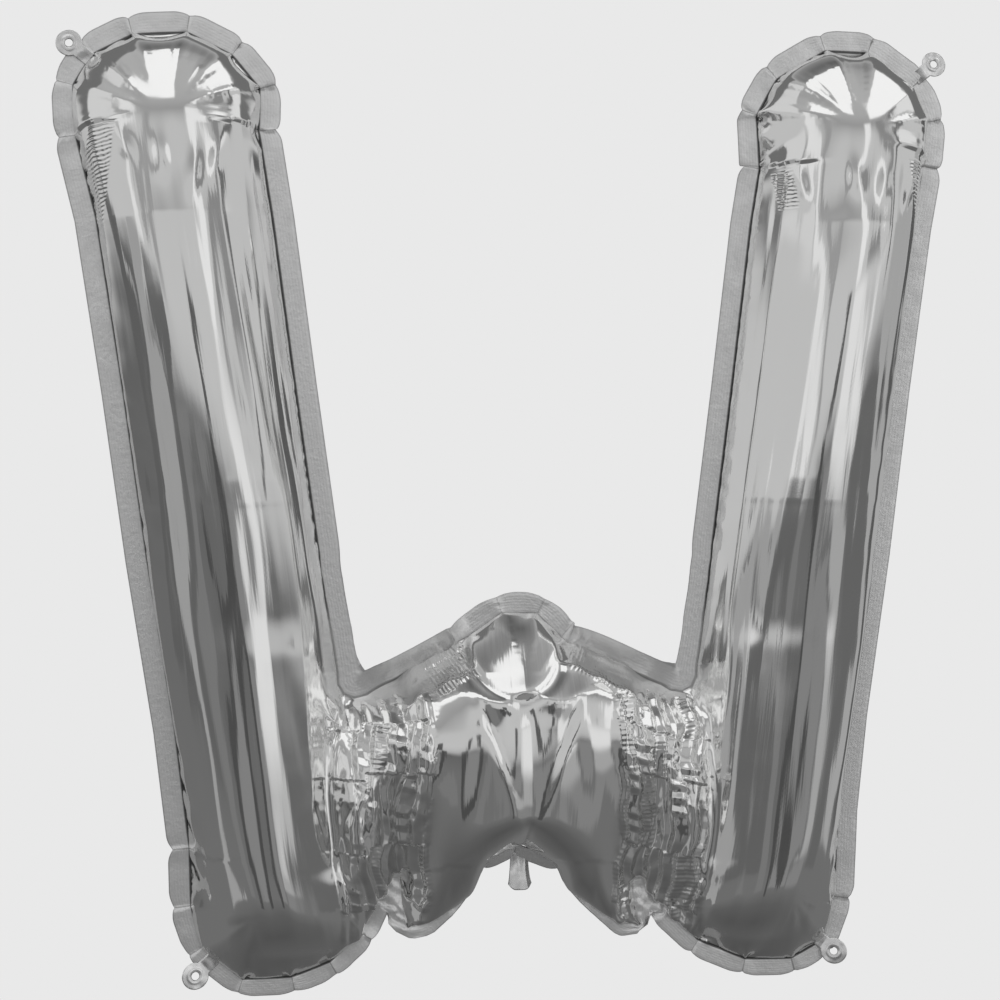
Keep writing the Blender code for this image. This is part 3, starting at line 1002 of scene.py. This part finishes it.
def facet_height(run, distance):
    """Height that makes the film flat between two corners of the weld, with a pleat in from each."""
    corners = sorted(film.corners)
    after = bisect(corners, run)
    before = corners[after - 1]
    width = (corners[after % len(corners)] - before) % seam.length
    if width > FACET_WIDTH or distance > FACET_REACH[3]:
        return 0.0
    off_middle = abs(2 * ((run - before) % seam.length) / width - 1)
    gap = (1 - off_middle) * width / 2
    pleat = PLEAT * bell(gap, PLEAT_WIDTH) * math.exp(-distance / PLEAT_REACH)
    rise = FACET * off_middle**2 * window(FACET_REACH, distance)
    return rise - pleat * smooth_step(0, PLEAT_START, distance)


def ripple_height(x, z, side):
    """Height of the soft ripples along a leg at a place on the flat film."""
    across, along = leg_place(x, z)
    in_leg = smooth_step(*LEG_EDGE, across)
    in_leg *= (1 - smooth_step(*RIPPLE_HEAD, z)) * (0.25 + 0.75 * smooth_step(*RIPPLE_FOOT, z))
    if in_leg <= 0:
        return 0.0
    seed = (5 if x > 0 else 8) + (20 if side > 0 else 0)
    total = 0.0
    for wide, long, height in RIPPLES:
        total += height * uneven(across / wide, along / long, seed + 50 * wide)
    if x > 0 and side < 0:
        middle, half, rise = RIDGE
        total += window(RIDGE_FADE, z) * rise * bell(across - middle, half)
    return total * in_leg


def drop_height(x, z):
    """Height of the gathered drops at a place seen from the front."""
    total = 0.0
    for at, up, wide, long, lean, height in DROPS if z > DROPS_FOOT else ():
        total += height * bell(x - at + lean * (z - up), wide) * bell(z - up, long)
    return total


def middle_height(x, z, side, distance):
    """Height of the crown's crease, the flat shoulders, the crest, the wedge and the folds below it."""
    if abs(x) > CRUMPLE_MIDDLES[1] or z < NOTCH_CREASE_SPAN[0]:
        return 0.0
    sunk = window(NOTCH_CREASE_SPAN, z) * NOTCH_CREASE[0] * math.exp(-abs(x) / NOTCH_CREASE[1])
    if z < UPRIGHT_FADE[0]:
        return -sunk
    radius = math.hypot(x - CROWN[0], z - CROWN[1])
    outside = smooth_step(CROWN_RADIUS - CROWN_EDGE, CROWN_RADIUS + CROWN_EDGE, radius)
    height = -CROWN_CREASE * bell(radius - CROWN_RADIUS, CROWN_WIDTH)
    height *= 1 - smooth_step(*CROWN_FADE, z - CROWN[1])
    if z > SHOULDER_FOOT:
        rise, half, wave, spacing = SHOULDER_EDGE
        place = (distance + wave * math.cos(2 * math.pi * x / spacing)) / SHOULDER_REACH
        if place < 1:
            height -= outside * SHOULDER_FLAT * math.sin(math.pi * place)
        height += outside * rise * bell(place - 1, half)
    crest, over, under, lift, edge = CREST
    spread = WEDGE_SPREAD * (z - WEDGE_POINT[1]) - abs(x - WEDGE_POINT[0])
    under *= 1 - WEDGE_PULL * smooth_step(-WEDGE_EDGE, WEDGE_EDGE, spread)
    off = z - crest - CREST_SCALLOP[0] * math.cos(2 * math.pi * x / CREST_SCALLOP[1])
    height += lift * math.exp(-math.hypot(off, edge) / (over if off > 0 else under))
    spacing, rise, fan = UPRIGHT
    lean = x * (1 + fan * (z - UPRIGHT_FADE[3]))
    height += rise * window(UPRIGHT_FADE, z) * uneven(lean / spacing, z * 4, 3 if side > 0 else 6)
    return height * (1 - smooth_step(*MIDDLE_FADE, abs(x))) - sunk


def arm_bulge(x, z, distance):
    """How far the film of an arm bulges over the weld beside the notch."""
    if z > ARM_TOP or distance > ARM_REACH:
        return Vector((0, 0, 0))
    push = ARM_BULGE * window(ARM_SPAN, abs(x)) * math.sin(math.pi * (distance / ARM_REACH) ** 0.7)
    return push * Vector((-math.copysign(ARM_WAY[0], x), 0, -ARM_WAY[1]))


# Patches of film gathered in fine ribs: middle, half sizes and lean, and how wide their edge is
RIBBED = [
    ((-0.3690, 0.2840), (0.0110, 0.0420), -0.13),
    ((0.3660, 0.2750), (0.0080, 0.0320), 0.13),
    ((0.0720, -0.1470), (0.0300, 0.0200), -0.50),
    ((-0.0660, -0.1480), (0.0200, 0.0200), 0.50),
    ((0.2420, 0.2780), (0.0070, 0.0170), 0.13),
]
RIBBED_EDGE = 0.2
# The finest creases fade out over this reach above this height
CREASED_TOP = (0.300, 0.050)


# Pieces from the inflated film
def new_object(name, points, faces, values=None):
    mesh = bpy.data.meshes.new(name)
    mesh.from_pydata([tuple(p) for p in points], [], [tuple(f) for f in faces])
    mesh.shade_smooth()
    for layer, value in (values or {}).items():
        attribute = mesh.attributes.new(layer, "FLOAT" if value.ndim == 1 else "FLOAT_VECTOR", "POINT")
        field = "value" if value.ndim == 1 else "vector"
        attribute.data.foreach_set(field, value.astype(np.float32).ravel())
    obj = bpy.data.objects.new(name, mesh)
    bpy.context.scene.collection.objects.link(obj)
    return obj


def film_piece(name, faces):
    """One film with its place on the limb and its place beside the seam kept on its points."""
    ids, inverse = np.unique(faces, return_inverse=True)
    top, reach = CREASED_TOP
    limb = np.zeros((len(ids), 3))
    for i, (x, z) in enumerate(film.flat[ids]):
        across, along = leg_place(x, z)
        limb[i] = (across, along, 1) if smooth_step(*LEG_EDGE, across) > 0.5 else (x, z, 0)
    values = {
        "limb": limb,
        "flat": np.stack([film.flat[ids, 0], film.flat[ids, 1], np.zeros(len(ids))], axis=1),
        "seam_run": seam.at_run[ids],
        "seam_distance": seam.distance[ids],
        "corner_gap": seam.corner_gap[ids],
        # The pressed weight sets how strong the painted shade line along the seam is
        "pressed": np.interp(seam.at_run[ids], seam.run[:-1], seam.pressed),
        "ribbed": ribbed(film.at[ids]),
        "smooth_end": np.clip((film.at[ids, 2] - top) / reach, 0, 1),
    }
    return new_object(name, film.at[ids].tolist(), inverse.reshape(faces.shape).tolist(), values)


def ribbed(points):
    """How far the film is gathered in fine ribs at each place: 1 inside a ribbed patch."""
    share = np.zeros(len(points))
    for (x, z), (across, up), lean in RIBBED:
        u, v = points[:, 0] - x, points[:, 2] - z
        u = u * math.cos(lean) + v * math.sin(lean)
        v = v * math.cos(lean) - (points[:, 0] - x) * math.sin(lean)
        far = np.maximum(np.abs(u) / across, np.abs(v) / up)
        share = np.maximum(share, np.clip((1 - far) / RIBBED_EDGE + 0.5, 0, 1))
    return share


def crease(obj, side):
    """Adds all the relief, with the folds of the crumpled bands on a finer mesh."""
    work = bmesh.new()
    work.from_mesh(obj.data)
    crumpled = set(v for v in work.verts if crumple_share(v.co.x, v.co.z)[1] > 0)
    inside = [e for e in work.edges if e.verts[0] in crumpled and e.verts[1] in crumpled]
    bmesh.ops.subdivide_edges(work, edges=inside, cuts=1, use_grid_fill=True)
    bmesh.ops.triangulate(work, faces=[f for f in work.faces if len(f.verts) > 3])
    work.normal_update()
    flat = work.verts.layers.float_vector["flat"]
    distance = work.verts.layers.float["seam_distance"]
    run = work.verts.layers.float["seam_run"]
    moves = []
    for v in work.verts:
        x, z, _ = v[flat]
        inner = smooth_step(*RIPPLE_FROM_SEAM, v[distance])
        height = ripple_height(x, z, side) * inner + middle_height(v.co.x, v.co.z, side, v[distance])
        if abs(x) > KINK.x or z > KINK.y / 2:
            share = CROWN_FACET if abs(x) < SHOULDER.x else FOOT_FACET if z < 0 else 1.0
            height += share * facet_height(v[run], v[distance])
        height += crumple_height(v.co.x, v.co.z, side) * smooth_step(*CRUMPLE_FROM_SEAM, v[distance])
        if side < 0:
            height += drop_height(v.co.x, v.co.z)
        moves.append(v.normal * height + arm_bulge(v.co.x, v.co.z, v[distance]))
    for v, move in zip(work.verts, moves):
        v.co += move
    work.to_mesh(obj.data)
    work.free()
    obj.data.shade_smooth()


front_film = film_piece("front_film", film.front)
rear_film = film_piece("rear_film", film.rear)
weld = film_piece("welded_edge", film.weld)
crease(front_film, -1)
crease(rear_film, 1)


# Hanging tabs of welded film: their eyes, and the middles of the legs' ends that they point away from
UPPER_EYE = (0.3938, 0.4025)
LOWER_EYE = (0.2901, -0.4170)
UPPER_END = (0.3037, 0.3330)
LOWER_END = (0.2131, -0.3500)
# Their outline, mesh and thickness, the pressed ring round the hole, the lift of the eye and the dimples
TAB_RADIUS = 0.0115
TAB_HOLE = 0.0034
TAB_NECK = 0.0130
TAB_ROOT = 0.0230
TAB_MESH = 0.0009
TAB_THICK = 0.0003
RING_RADIUS = 0.0058
RING_WIDTH = 0.0010
RING_RISE = 0.0005
TAB_LIFT = 0.0012
TAB_DIMPLE = (0.0005, 120)
RIM_POINTS = 72
HOLE_MESH = 0.0006
GRID_GAP = 0.6

# Filling tail: a short flat sleeve that hangs from the weld behind the seam and curls forward. Its top, end,
# half width and flare, its place, the opening of its mouth, and the part at its right that is folded back
TAIL_TOP = -0.3205
TAIL_END = -0.3535
TAIL_HALF = 0.0083
TAIL_FLARE = 0.0029
TAIL_BACK = 0.0136
TAIL_MIDDLE = 0.0010
TAIL_CURL = 0.0060
TAIL_MOUTH = 0.0014
TAIL_FOLD = (0.62, 0.0075, 0.10)
TAIL_ROUND = (0.0055, 0.35)
TAIL_FILM = 0.0002
TAIL_WAVE = 0.0003
TAIL_ROWS = 22
TAIL_COLUMNS = 26


def circle(radius, step):
    count = round(2 * math.pi * radius / step)
    turns = np.arange(count) * 2 * math.pi / count
    return np.stack([radius * np.cos(turns), radius * np.sin(turns)], axis=1)


def filled(outline, hole, step):
    """Triangles inside an outline and outside a hole round the origin."""
    low, high = outline.min(axis=0), outline.max(axis=0)
    grid = np.stack(np.meshgrid(np.arange(low[0], high[0], step), np.arange(low[1], high[1], step)), axis=-1)
    grid = grid.reshape(-1, 2)
    grid = grid[within(outline, grid) & (away(outline, grid) > GRID_GAP * step)]
    grid = grid[np.linalg.norm(grid, axis=1) > TAB_HOLE + GRID_GAP * step]
    points = np.vstack([outline, hole, grid])
    edges = []
    for start, size in ((0, len(outline)), (len(outline), len(hole))):
        edges += ring_edges(start, size)
    found = delaunay_2d_cdt([Vector(p) for p in points], edges, [], 1, 1e-7)
    places = np.array([tuple(v) for v in found[0]])
    faces = np.array([f for f in found[2] if len(f) == 3])
    middle = places[faces].mean(axis=1)
    return places, faces[within(outline, middle) & ~within(hole, middle)]


def solid(obj, thickness):
    modifier = obj.modifiers.new("thickness", "SOLIDIFY")
    modifier.thickness = thickness
    modifier.offset = 0
    return obj


def hanging_tab(name, eye, leg_end, side, tilt, twist):
    """One tab in the plane of the weld, tilted a little towards the front."""
    opening = math.asin(TAB_NECK / 2 / TAB_RADIUS)
    turns = np.linspace(math.pi + opening, 3 * math.pi - opening, RIM_POINTS)
    rim = np.stack([TAB_RADIUS * np.cos(turns), TAB_RADIUS * np.sin(turns)], axis=1)
    neck = np.array([(-TAB_ROOT, TAB_NECK / 2), (-TAB_ROOT, -TAB_NECK / 2)])
    outline = evenly(np.vstack([rim, neck]), TAB_MESH)
    places, faces = filled(outline, circle(TAB_HOLE, HOLE_MESH), TAB_MESH)
    eye = Vector((side * eye[0], eye[1]))
    out = (eye - Vector((side * leg_end[0], leg_end[1]))).normalized()
    across = Vector((-out.y, out.x))
    deep, fine = TAB_DIMPLE
    points, polar = [], []
    for u, v in places:
        radius = math.hypot(u, v)
        beyond = max(0.0, u + TAB_RADIUS)
        lift = -TAB_LIFT * smooth_step(-TAB_ROOT, -TAB_RADIUS, u)
        lift -= beyond * (tilt + twist * v / TAB_RADIUS)
        ring = RING_RISE * bell(radius - RING_RADIUS, RING_WIDTH)
        dimple = deep * uneven(u * fine, v * fine, 4 * side + tilt)
        place = eye + out * u + across * v
        points.append((place.x, lift - ring + dimple, place.y))
        polar.append((u, v, 0.0))
    obj = new_object(name, points, faces.tolist(), {"limb": np.array(polar)})
    return solid(obj, TAB_THICK)


tabs = [
    hanging_tab("tab_upper_left", UPPER_EYE, UPPER_END, -1, -0.08, 0.05),
    hanging_tab("tab_upper_right", UPPER_EYE, UPPER_END, 1, -0.12, -0.06),
    hanging_tab("tab_lower_left", LOWER_EYE, LOWER_END, -1, 0.30, -0.05),
    hanging_tab("tab_lower_right", LOWER_EYE, LOWER_END, 1, 0.34, 0.06),
]


def filling_tail():
    """A flat sleeve of two films, open at its mouth, with its right part folded back."""
    ring = [(face * (1 - 2 * k / TAIL_COLUMNS), face) for face in (-1, 1) for k in range(TAIL_COLUMNS)]
    fold_start, fold_back, fold_narrow = TAIL_FOLD
    rise, square = TAIL_ROUND
    points, places, faces = [], [], []
    for row in range(TAIL_ROWS + 1):
        t = row / TAIL_ROWS
        for u, face in ring:
            round_off = rise * max(0.0, (abs(u) - square) / (1 - square)) ** 2 * t**3
            z = TAIL_TOP + (TAIL_END - TAIL_TOP) * t + round_off
            half = TAIL_HALF + TAIL_FLARE * t**2
            swell = (1 - u * u) * (TAIL_FILM + TAIL_MOUTH * t**1.5)
            curl = TAIL_BACK - TAIL_CURL * t**2
            folded = max(0.0, u - fold_start)
            wave = TAIL_WAVE * uneven(u * 2.2, t * 2.5, 3)
            x = TAIL_MIDDLE + half * (u - fold_narrow * folded * t)
            points.append((x, curl + face * swell + fold_back * folded * (0.3 + t) + wave, z))
            places.append((u * half, z, 0.0))
    size = len(ring)
    for row in range(TAIL_ROWS):
        for k in range(size):
            a, b = row * size + k, row * size + (k + 1) % size
            faces.append((a, a + size, b + size, b))
    obj = new_object("filling_tail", points, faces, {"limb": np.array(places)})
    return solid(obj, TAIL_FILM)


tail = filling_tail()


# Materials
class Nodes:
    """Short names for making a material's nodes."""

    def __init__(self, tree):
        self.nodes, self.links = tree.nodes, tree.links

    def put(self, socket, value):
        if isinstance(value, bpy.types.NodeSocket):
            self.links.new(value, socket)
        else:
            socket.default_value = value

    def new(self, kind, **settings):
        node = self.nodes.new(kind)
        for key, value in settings.items():
            setattr(node, key, value)
        return node

    def maths(self, operation, a, b=0.0, c=0.0):
        node = self.new("ShaderNodeMath", operation=operation)
        for socket, value in zip(node.inputs, (a, b, c)):
            self.put(socket, value)
        return node.outputs[0]

    def times(self, a, b):
        return self.maths("MULTIPLY", a, b)

    def waves(self, value, spacing):
        return self.maths("SINE", self.times(value, 2 * math.pi / spacing))

    def step(self, value, low, high, start=0.0, end=1.0):
        """A smooth change from start to end as the value goes from low to high."""
        node = self.new("ShaderNodeMapRange", interpolation_type="SMOOTHSTEP")
        names = ("Value", "From Min", "From Max", "To Min", "To Max")
        for name, given in zip(names, (value, low, high, start, end)):
            self.put(node.inputs[name], given)
        return node.outputs["Result"]

    def attribute(self, name, output="Fac"):
        return self.new("ShaderNodeAttribute", attribute_name=name).outputs[output]

    def scaled(self, vector, scale):
        node = self.new("ShaderNodeMapping")
        self.put(node.inputs["Vector"], vector)
        node.inputs["Scale"].default_value = scale
        return node.outputs["Vector"]

    def cloud(self, vector, scale, detail=2.0):
        node = self.new("ShaderNodeTexNoise")
        self.put(node.inputs["Vector"], vector)
        node.inputs["Scale"].default_value = scale
        node.inputs["Detail"].default_value = detail
        return node.outputs["Fac"]

    def bump(self, height, distance, strength=1.0, normal=None):
        node = self.new("ShaderNodeBump")
        node.inputs["Strength"].default_value = strength
        node.inputs["Distance"].default_value = distance
        self.put(node.inputs["Height"], height)
        if normal is not None:
            self.put(node.inputs["Normal"], normal)
        return node.outputs["Normal"]

    def blend(self, share, a, b):
        node = self.new("ShaderNodeMix", data_type="RGBA")
        self.put(node.inputs["Factor"], share)
        for socket, colour in ((node.inputs[6], a), (node.inputs[7], b)):
            self.put(socket, colour)
        return node.outputs[2]


def grey(value):
    return value, value, value, 1


def metal(name):
    made = bpy.data.materials.new(name)
    made.use_nodes = True
    shader = made.node_tree.nodes["Principled BSDF"]
    shader.inputs["Metallic"].default_value = 1.0
    return made, Nodes(made.node_tree), shader


def dress(n, shader, colour, roughness, normal):
    for name, given in (("Base Color", colour), ("Roughness", roughness), ("Normal", normal)):
        n.put(shader.inputs[name], given)


# Spacing of the gathered film's ribs along and away from the seam, their wander, and the weld's pressed lines
RIB_SPACING = (0.0037, 0.0085)
RIB_WANDER = 0.006
LINE_SPACING = 0.0026


def foil_material():
    """Bright film with fine creases along each leg, and ribs where it gathers at the seam."""
    made, n, shader = metal("mirror_foil")
    limb = n.attribute("limb", "Vector")
    run = n.attribute("seam_run")
    distance = n.attribute("seam_distance")
    rib_share = n.attribute("ribbed")
    drawn = n.maths("SUBTRACT", 1.0, n.attribute("smooth_end"))
    fine = n.cloud(n.scaled(limb, (1, 0.05, 1)), 190, 2)
    grain = n.cloud(limb, 900, 1)
    patches = n.cloud(limb, 22, 3)

    # The seam gathers the film in short ribs
    wander = n.times(n.cloud(limb, 60, 2), RIB_WANDER)
    places = (n.maths("ADD", place, wander) for place in (run, distance))
    rows, columns = (n.waves(place, spacing) for place, spacing in zip(places, RIB_SPACING))
    ribs = n.maths("ADD", rows, n.times(columns, 0.5))
    normal = n.bump(n.times(fine, drawn), 0.00028, 0.5)
    normal = n.bump(n.times(ribs, rib_share), 0.00016, 0.9, normal)
    normal = n.bump(grain, 0.00002, 0.3, normal)

    # Painted shade: a thin dark line on the film where the weld begins, as strong as the seam's pressed
    # weight
    pressed = n.step(distance, 0.0006, 0.0022, 1.0, 0.0)
    pressed = n.times(pressed, n.attribute("pressed"))
    colour = n.blend(pressed, (0.87, 0.87, 0.865, 1), grey(0.14))
    dress(n, shader, colour, n.step(patches, 0.3, 0.7, 0.06, 0.12), normal)
    return made


def weld_material():
    """Duller heat-pressed film with a pressed grain, and painted shade in a dark line at the seam, along the
    cut rim and at the laps by the corners.
    """
    made, n, shader = metal("welded_foil")
    flat = n.attribute("flat", "Vector")
    distance = n.attribute("seam_distance")
    gap = n.attribute("corner_gap")
    cloud = n.cloud(flat, 60, 3)
    press = n.cloud(flat, 1500, 1)
    puckers = n.cloud(flat, 240, 2)
    normal = n.bump(puckers, 0.0009, 0.35)
    normal = n.bump(n.waves(distance, LINE_SPACING), 0.00006, 0.35, normal)
    normal = n.bump(press, 0.00008, 0.5, normal)
    # Painted shade: a dark line at the seam, fainter ones along the rim and at the laps beside the corners,
    # scaled by the pressed weight
    edge = n.step(distance, 0.0008, 0.0022, 1.0, 0.0)
    rim = n.step(distance, MARGIN - 0.0014, MARGIN - 0.0006)
    fold = n.step(gap, 0.0003, 0.0010, 0.5, 0.0)
    dark = n.maths("MAXIMUM", edge, n.maths("MAXIMUM", n.times(rim, 0.45), fold))
    dark = n.times(dark, n.attribute("pressed"))
    shader.inputs["Metallic"].default_value = 0.80
    worn = n.blend(cloud, grey(0.93), grey(0.78))
    dress(n, shader, n.blend(dark, worn, grey(0.13)), n.step(cloud, 0.3, 0.7, 0.34, 0.46), normal)
    return made


def tab_material(name, ring):
    """Welded film of the tabs and the tail, with a pressed grain and rubbed patches, and on the tabs painted
    shade round the hole.
    """
    made, n, shader = metal(name)
    limb = n.attribute("limb", "Vector")
    cloud = n.cloud(limb, 150, 1)
    press = n.cloud(limb, 1600, 1)
    normal = n.bump(cloud, 0.0005, 0.25)
    normal = n.bump(press, 0.00002, 0.3, normal)
    colour = n.blend(cloud, grey(0.95), grey(0.84))
    # On the tabs, painted shade darkens the film towards the rim of the hole
    if ring:
        away_from_eye = n.new("ShaderNodeVectorMath", operation="LENGTH")
        n.put(away_from_eye.inputs[0], limb)
        edge = n.step(away_from_eye.outputs["Value"], TAB_HOLE, TAB_HOLE + 0.0008, 0.8, 0.0)
        colour = n.blend(edge, colour, grey(0.15))
    dress(n, shader, colour, n.step(cloud, 0.3, 0.7, 0.22, 0.34), normal)
    return made


foil = foil_material()
welded = weld_material()
tab_foil = tab_material("tab_foil", True)
tail_foil = tab_material("tail_foil", False)

PIECES = [
    (front_film, foil, "front_panel", "silver_film"),
    (rear_film, foil, "rear_panel", "silver_film"),
    (weld, welded, "seam_margin", "welded_film"),
    (tabs[0], tab_foil, "hanging_tab_upper_left", "tab_film"),
    (tabs[1], tab_foil, "hanging_tab_upper_right", "tab_film"),
    (tabs[2], tab_foil, "hanging_tab_lower_left", "tab_film"),
    (tabs[3], tab_foil, "hanging_tab_lower_right", "tab_film"),
    (tail, tail_foil, "inflation_tail", "tail_film"),
]
for piece, surface, node, slot in PIECES:
    piece.data.materials.append(surface)
    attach(piece, "root")
    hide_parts(node)


# Studio: a pale floor far below, a pale backdrop of light and the camera
FLOOR_RADIUS = 2.9
FLOOR_THICK = 0.02
FLOOR_LEVEL = -1.31


def studio_floor():
    bpy.ops.mesh.primitive_cylinder_add(
        vertices=96, radius=FLOOR_RADIUS, depth=FLOOR_THICK, location=(0, 0, FLOOR_LEVEL)
    )
    floor = bpy.context.object
    floor.name = "studio_floor"
    made = bpy.data.materials.new("pale_floor")
    made.use_nodes = True
    shader = made.node_tree.nodes["Principled BSDF"]
    shader.inputs["Base Color"].default_value = (0.78, 0.78, 0.77, 1)
    shader.inputs["Roughness"].default_value = 0.8
    floor.data.materials.append(made)
    return floor


floor = studio_floor()
floor.visible_glossy = False

DISTANCE = 1.7
TURN = math.radians(8.2)
AIM = -TURN + 0.0094
ROLL = math.radians(0.40)
LENS = 67.8
camera_data = bpy.data.cameras.new("camera")
camera_data.lens = LENS
camera_data.sensor_width = 36
camera = bpy.data.objects.new("camera", camera_data)
camera.location = (-DISTANCE * math.sin(TURN), -DISTANCE * math.cos(TURN), 0)
camera.rotation_mode = "XYZ"
camera.rotation_euler = (math.radians(90), ROLL, AIM)
bpy.context.scene.collection.objects.link(camera)
bpy.context.scene.camera = camera

# Brightness of the backdrop as the camera sees it
BACKDROP = 0.8148
# Light of the studio by height above the horizon, in degrees
LIGHT_BY_HEIGHT = [
    (-90, 0.09), (-60, 0.12), (-40, 0.17), (-20, 0.17), (-8, 0.15), (-2.2, 0.13), (2.2, 0.50), (8, 0.58),
    (22, 0.56), (32, 0.34), (42, 0.42), (60, 0.46), (72, 0.26), (90, 0.12),
]
# Soft boxes, screens and dark gaps: middle and half width of the direction round the letter, where 0 is
# the front and 90 the right, then lower and upper height, softness in degrees, and brightness
SCREENS = [
    ("front_overhead", -15, 26, 44, 76, 3.0, 1.00),
    ("back_overhead", 180, 85, 18, 62, 5.0, 0.17),
    ("right_high", 65, 26, 37, 54, 3.0, 1.00),
    ("right_low", 80, 14, 21, 35, 3.0, 0.78),
    ("right_pale", 31, 6, 11, 33, 3.0, 0.86),
    ("right_shadow", 51, 5, 11, 33, 3.0, 0.26),
    ("right_edge", 66, 3, 5, 33, 2.0, 0.14),
    ("left_pale", -47, 6, 6, 33, 3.0, 0.80),
    ("left_shadow", -30, 4, 6, 30, 3.0, 0.34),
    ("left_side", -78, 20, 20, 44, 3.0, 0.68),
    ("left_dark", -92, 8, -12, 8, 2.0, 0.12),
    ("left_strip", -64, 8, -42, 6, 2.0, 0.36),
    ("left_line", -77, 4, -14, 3, 2.0, 0.12),
    ("left_gap", -44, 7, -14, 5, 2.0, 0.13),
    ("left_middle", -25, 9, -40, -2, 3.0, 0.20),
    ("front_dark", 1, 5, -50, 2, 1.5, 0.075),
    ("front_gap", 8, 4, 2, 12, 1.5, 0.10),
    ("front_grey", 16, 8, -40, -2, 3.0, 0.24),
    ("right_strip_foot", 42, 11, -42, -20, 8.0, 0.24),
    ("right_strip_low", 41, 12, -20, -1, 7.0, 0.40),
    ("right_strip", 38, 12, -5, 10, 7.0, 0.80),
    ("right_gap", 72, 11, -30, -2, 3.0, 0.14),
    ("right_screen", 95, 8, -20, 12, 2.0, 0.40),
    ("right_dark", 113, 7, -16, 13, 2.0, 0.10),
    ("back_screen", 132, 9, -20, 12, 2.0, 0.42),
    ("back_gap", 180, 34, -2, 16, 4.0, 0.20),
]


def world_light():
    """A studio by direction: dark below a sharp horizon, pale above it, with soft boxes and gaps."""
    world = bpy.data.worlds.new("studio_world")
    bpy.context.scene.world = world
    world.use_nodes = True
    world.node_tree.nodes.clear()
    n = Nodes(world.node_tree)
    split = n.new("ShaderNodeSeparateXYZ")
    n.put(split.inputs["Vector"], n.new("ShaderNodeTexCoord").outputs["Generated"])
    x, y, z = split.outputs
    height = n.times(n.maths("ARCSINE", z), 180 / math.pi)
    round_it = n.times(n.maths("ARCTAN2", x, n.times(y, -1.0)), 180 / math.pi)

    ramp = n.new("ShaderNodeValToRGB")
    n.put(ramp.inputs["Fac"], n.maths("MULTIPLY_ADD", height, 1 / 180, 0.5))
    stops = ramp.color_ramp.elements
    stops[0].color = grey(LIGHT_BY_HEIGHT[0][1])
    stops[1].color = grey(LIGHT_BY_HEIGHT[-1][1])
    for degrees, value in LIGHT_BY_HEIGHT[1:-1]:
        stops.new(degrees / 180 + 0.5).color = grey(value)
    light = ramp.outputs["Color"]
    for name, middle, half, low, high, soft, value in SCREENS:
        turn = n.maths("WRAP", n.maths("SUBTRACT", round_it, middle), 180.0, -180.0)
        share = n.step(n.maths("ABSOLUTE", turn), half - soft / 2, half + soft / 2, 1.0, 0.0)
        share = n.times(share, n.step(height, low - soft / 2, low + soft / 2))
        share = n.times(share, n.step(height, high - soft / 2, high + soft / 2, 1.0, 0.0))
        light = n.blend(share, light, grey(value))

    around = n.new("ShaderNodeBackground")
    n.put(around.inputs["Color"], light)
    seen = n.new("ShaderNodeBackground")
    seen.inputs["Color"].default_value = grey(BACKDROP)
    mix = n.new("ShaderNodeMixShader")
    n.put(mix.inputs["Fac"], n.new("ShaderNodeLightPath").outputs["Is Camera Ray"])
    n.put(mix.inputs[1], around.outputs["Background"])
    n.put(mix.inputs[2], seen.outputs["Background"])
    n.put(n.new("ShaderNodeOutputWorld").inputs["Surface"], mix.outputs["Shader"])


world_light()


# A wide soft light from the front: its place, size and power
FILL_PLACE = (-0.6, -3.0, 1.0)
FILL_SIZE = (3.0, 2.4)
FILL_POWER = 34


def front_fill():
    """The soft light, which the mirror film doesn't show, for the pressed film and the floor."""
    data = bpy.data.lights.new("front_fill", "AREA")
    data.shape = "RECTANGLE"
    data.size, data.size_y = FILL_SIZE
    data.energy = FILL_POWER
    light = bpy.data.objects.new("front_fill", data)
    light.location = FILL_PLACE
    light.rotation_euler = (-light.location).to_track_quat("-Z", "Y").to_euler()
    light.visible_camera = False
    light.visible_glossy = False
    bpy.context.scene.collection.objects.link(light)


front_fill()

bpy.context.scene.view_settings.view_transform = "Standard"
bpy.context.scene.view_settings.look = "None"
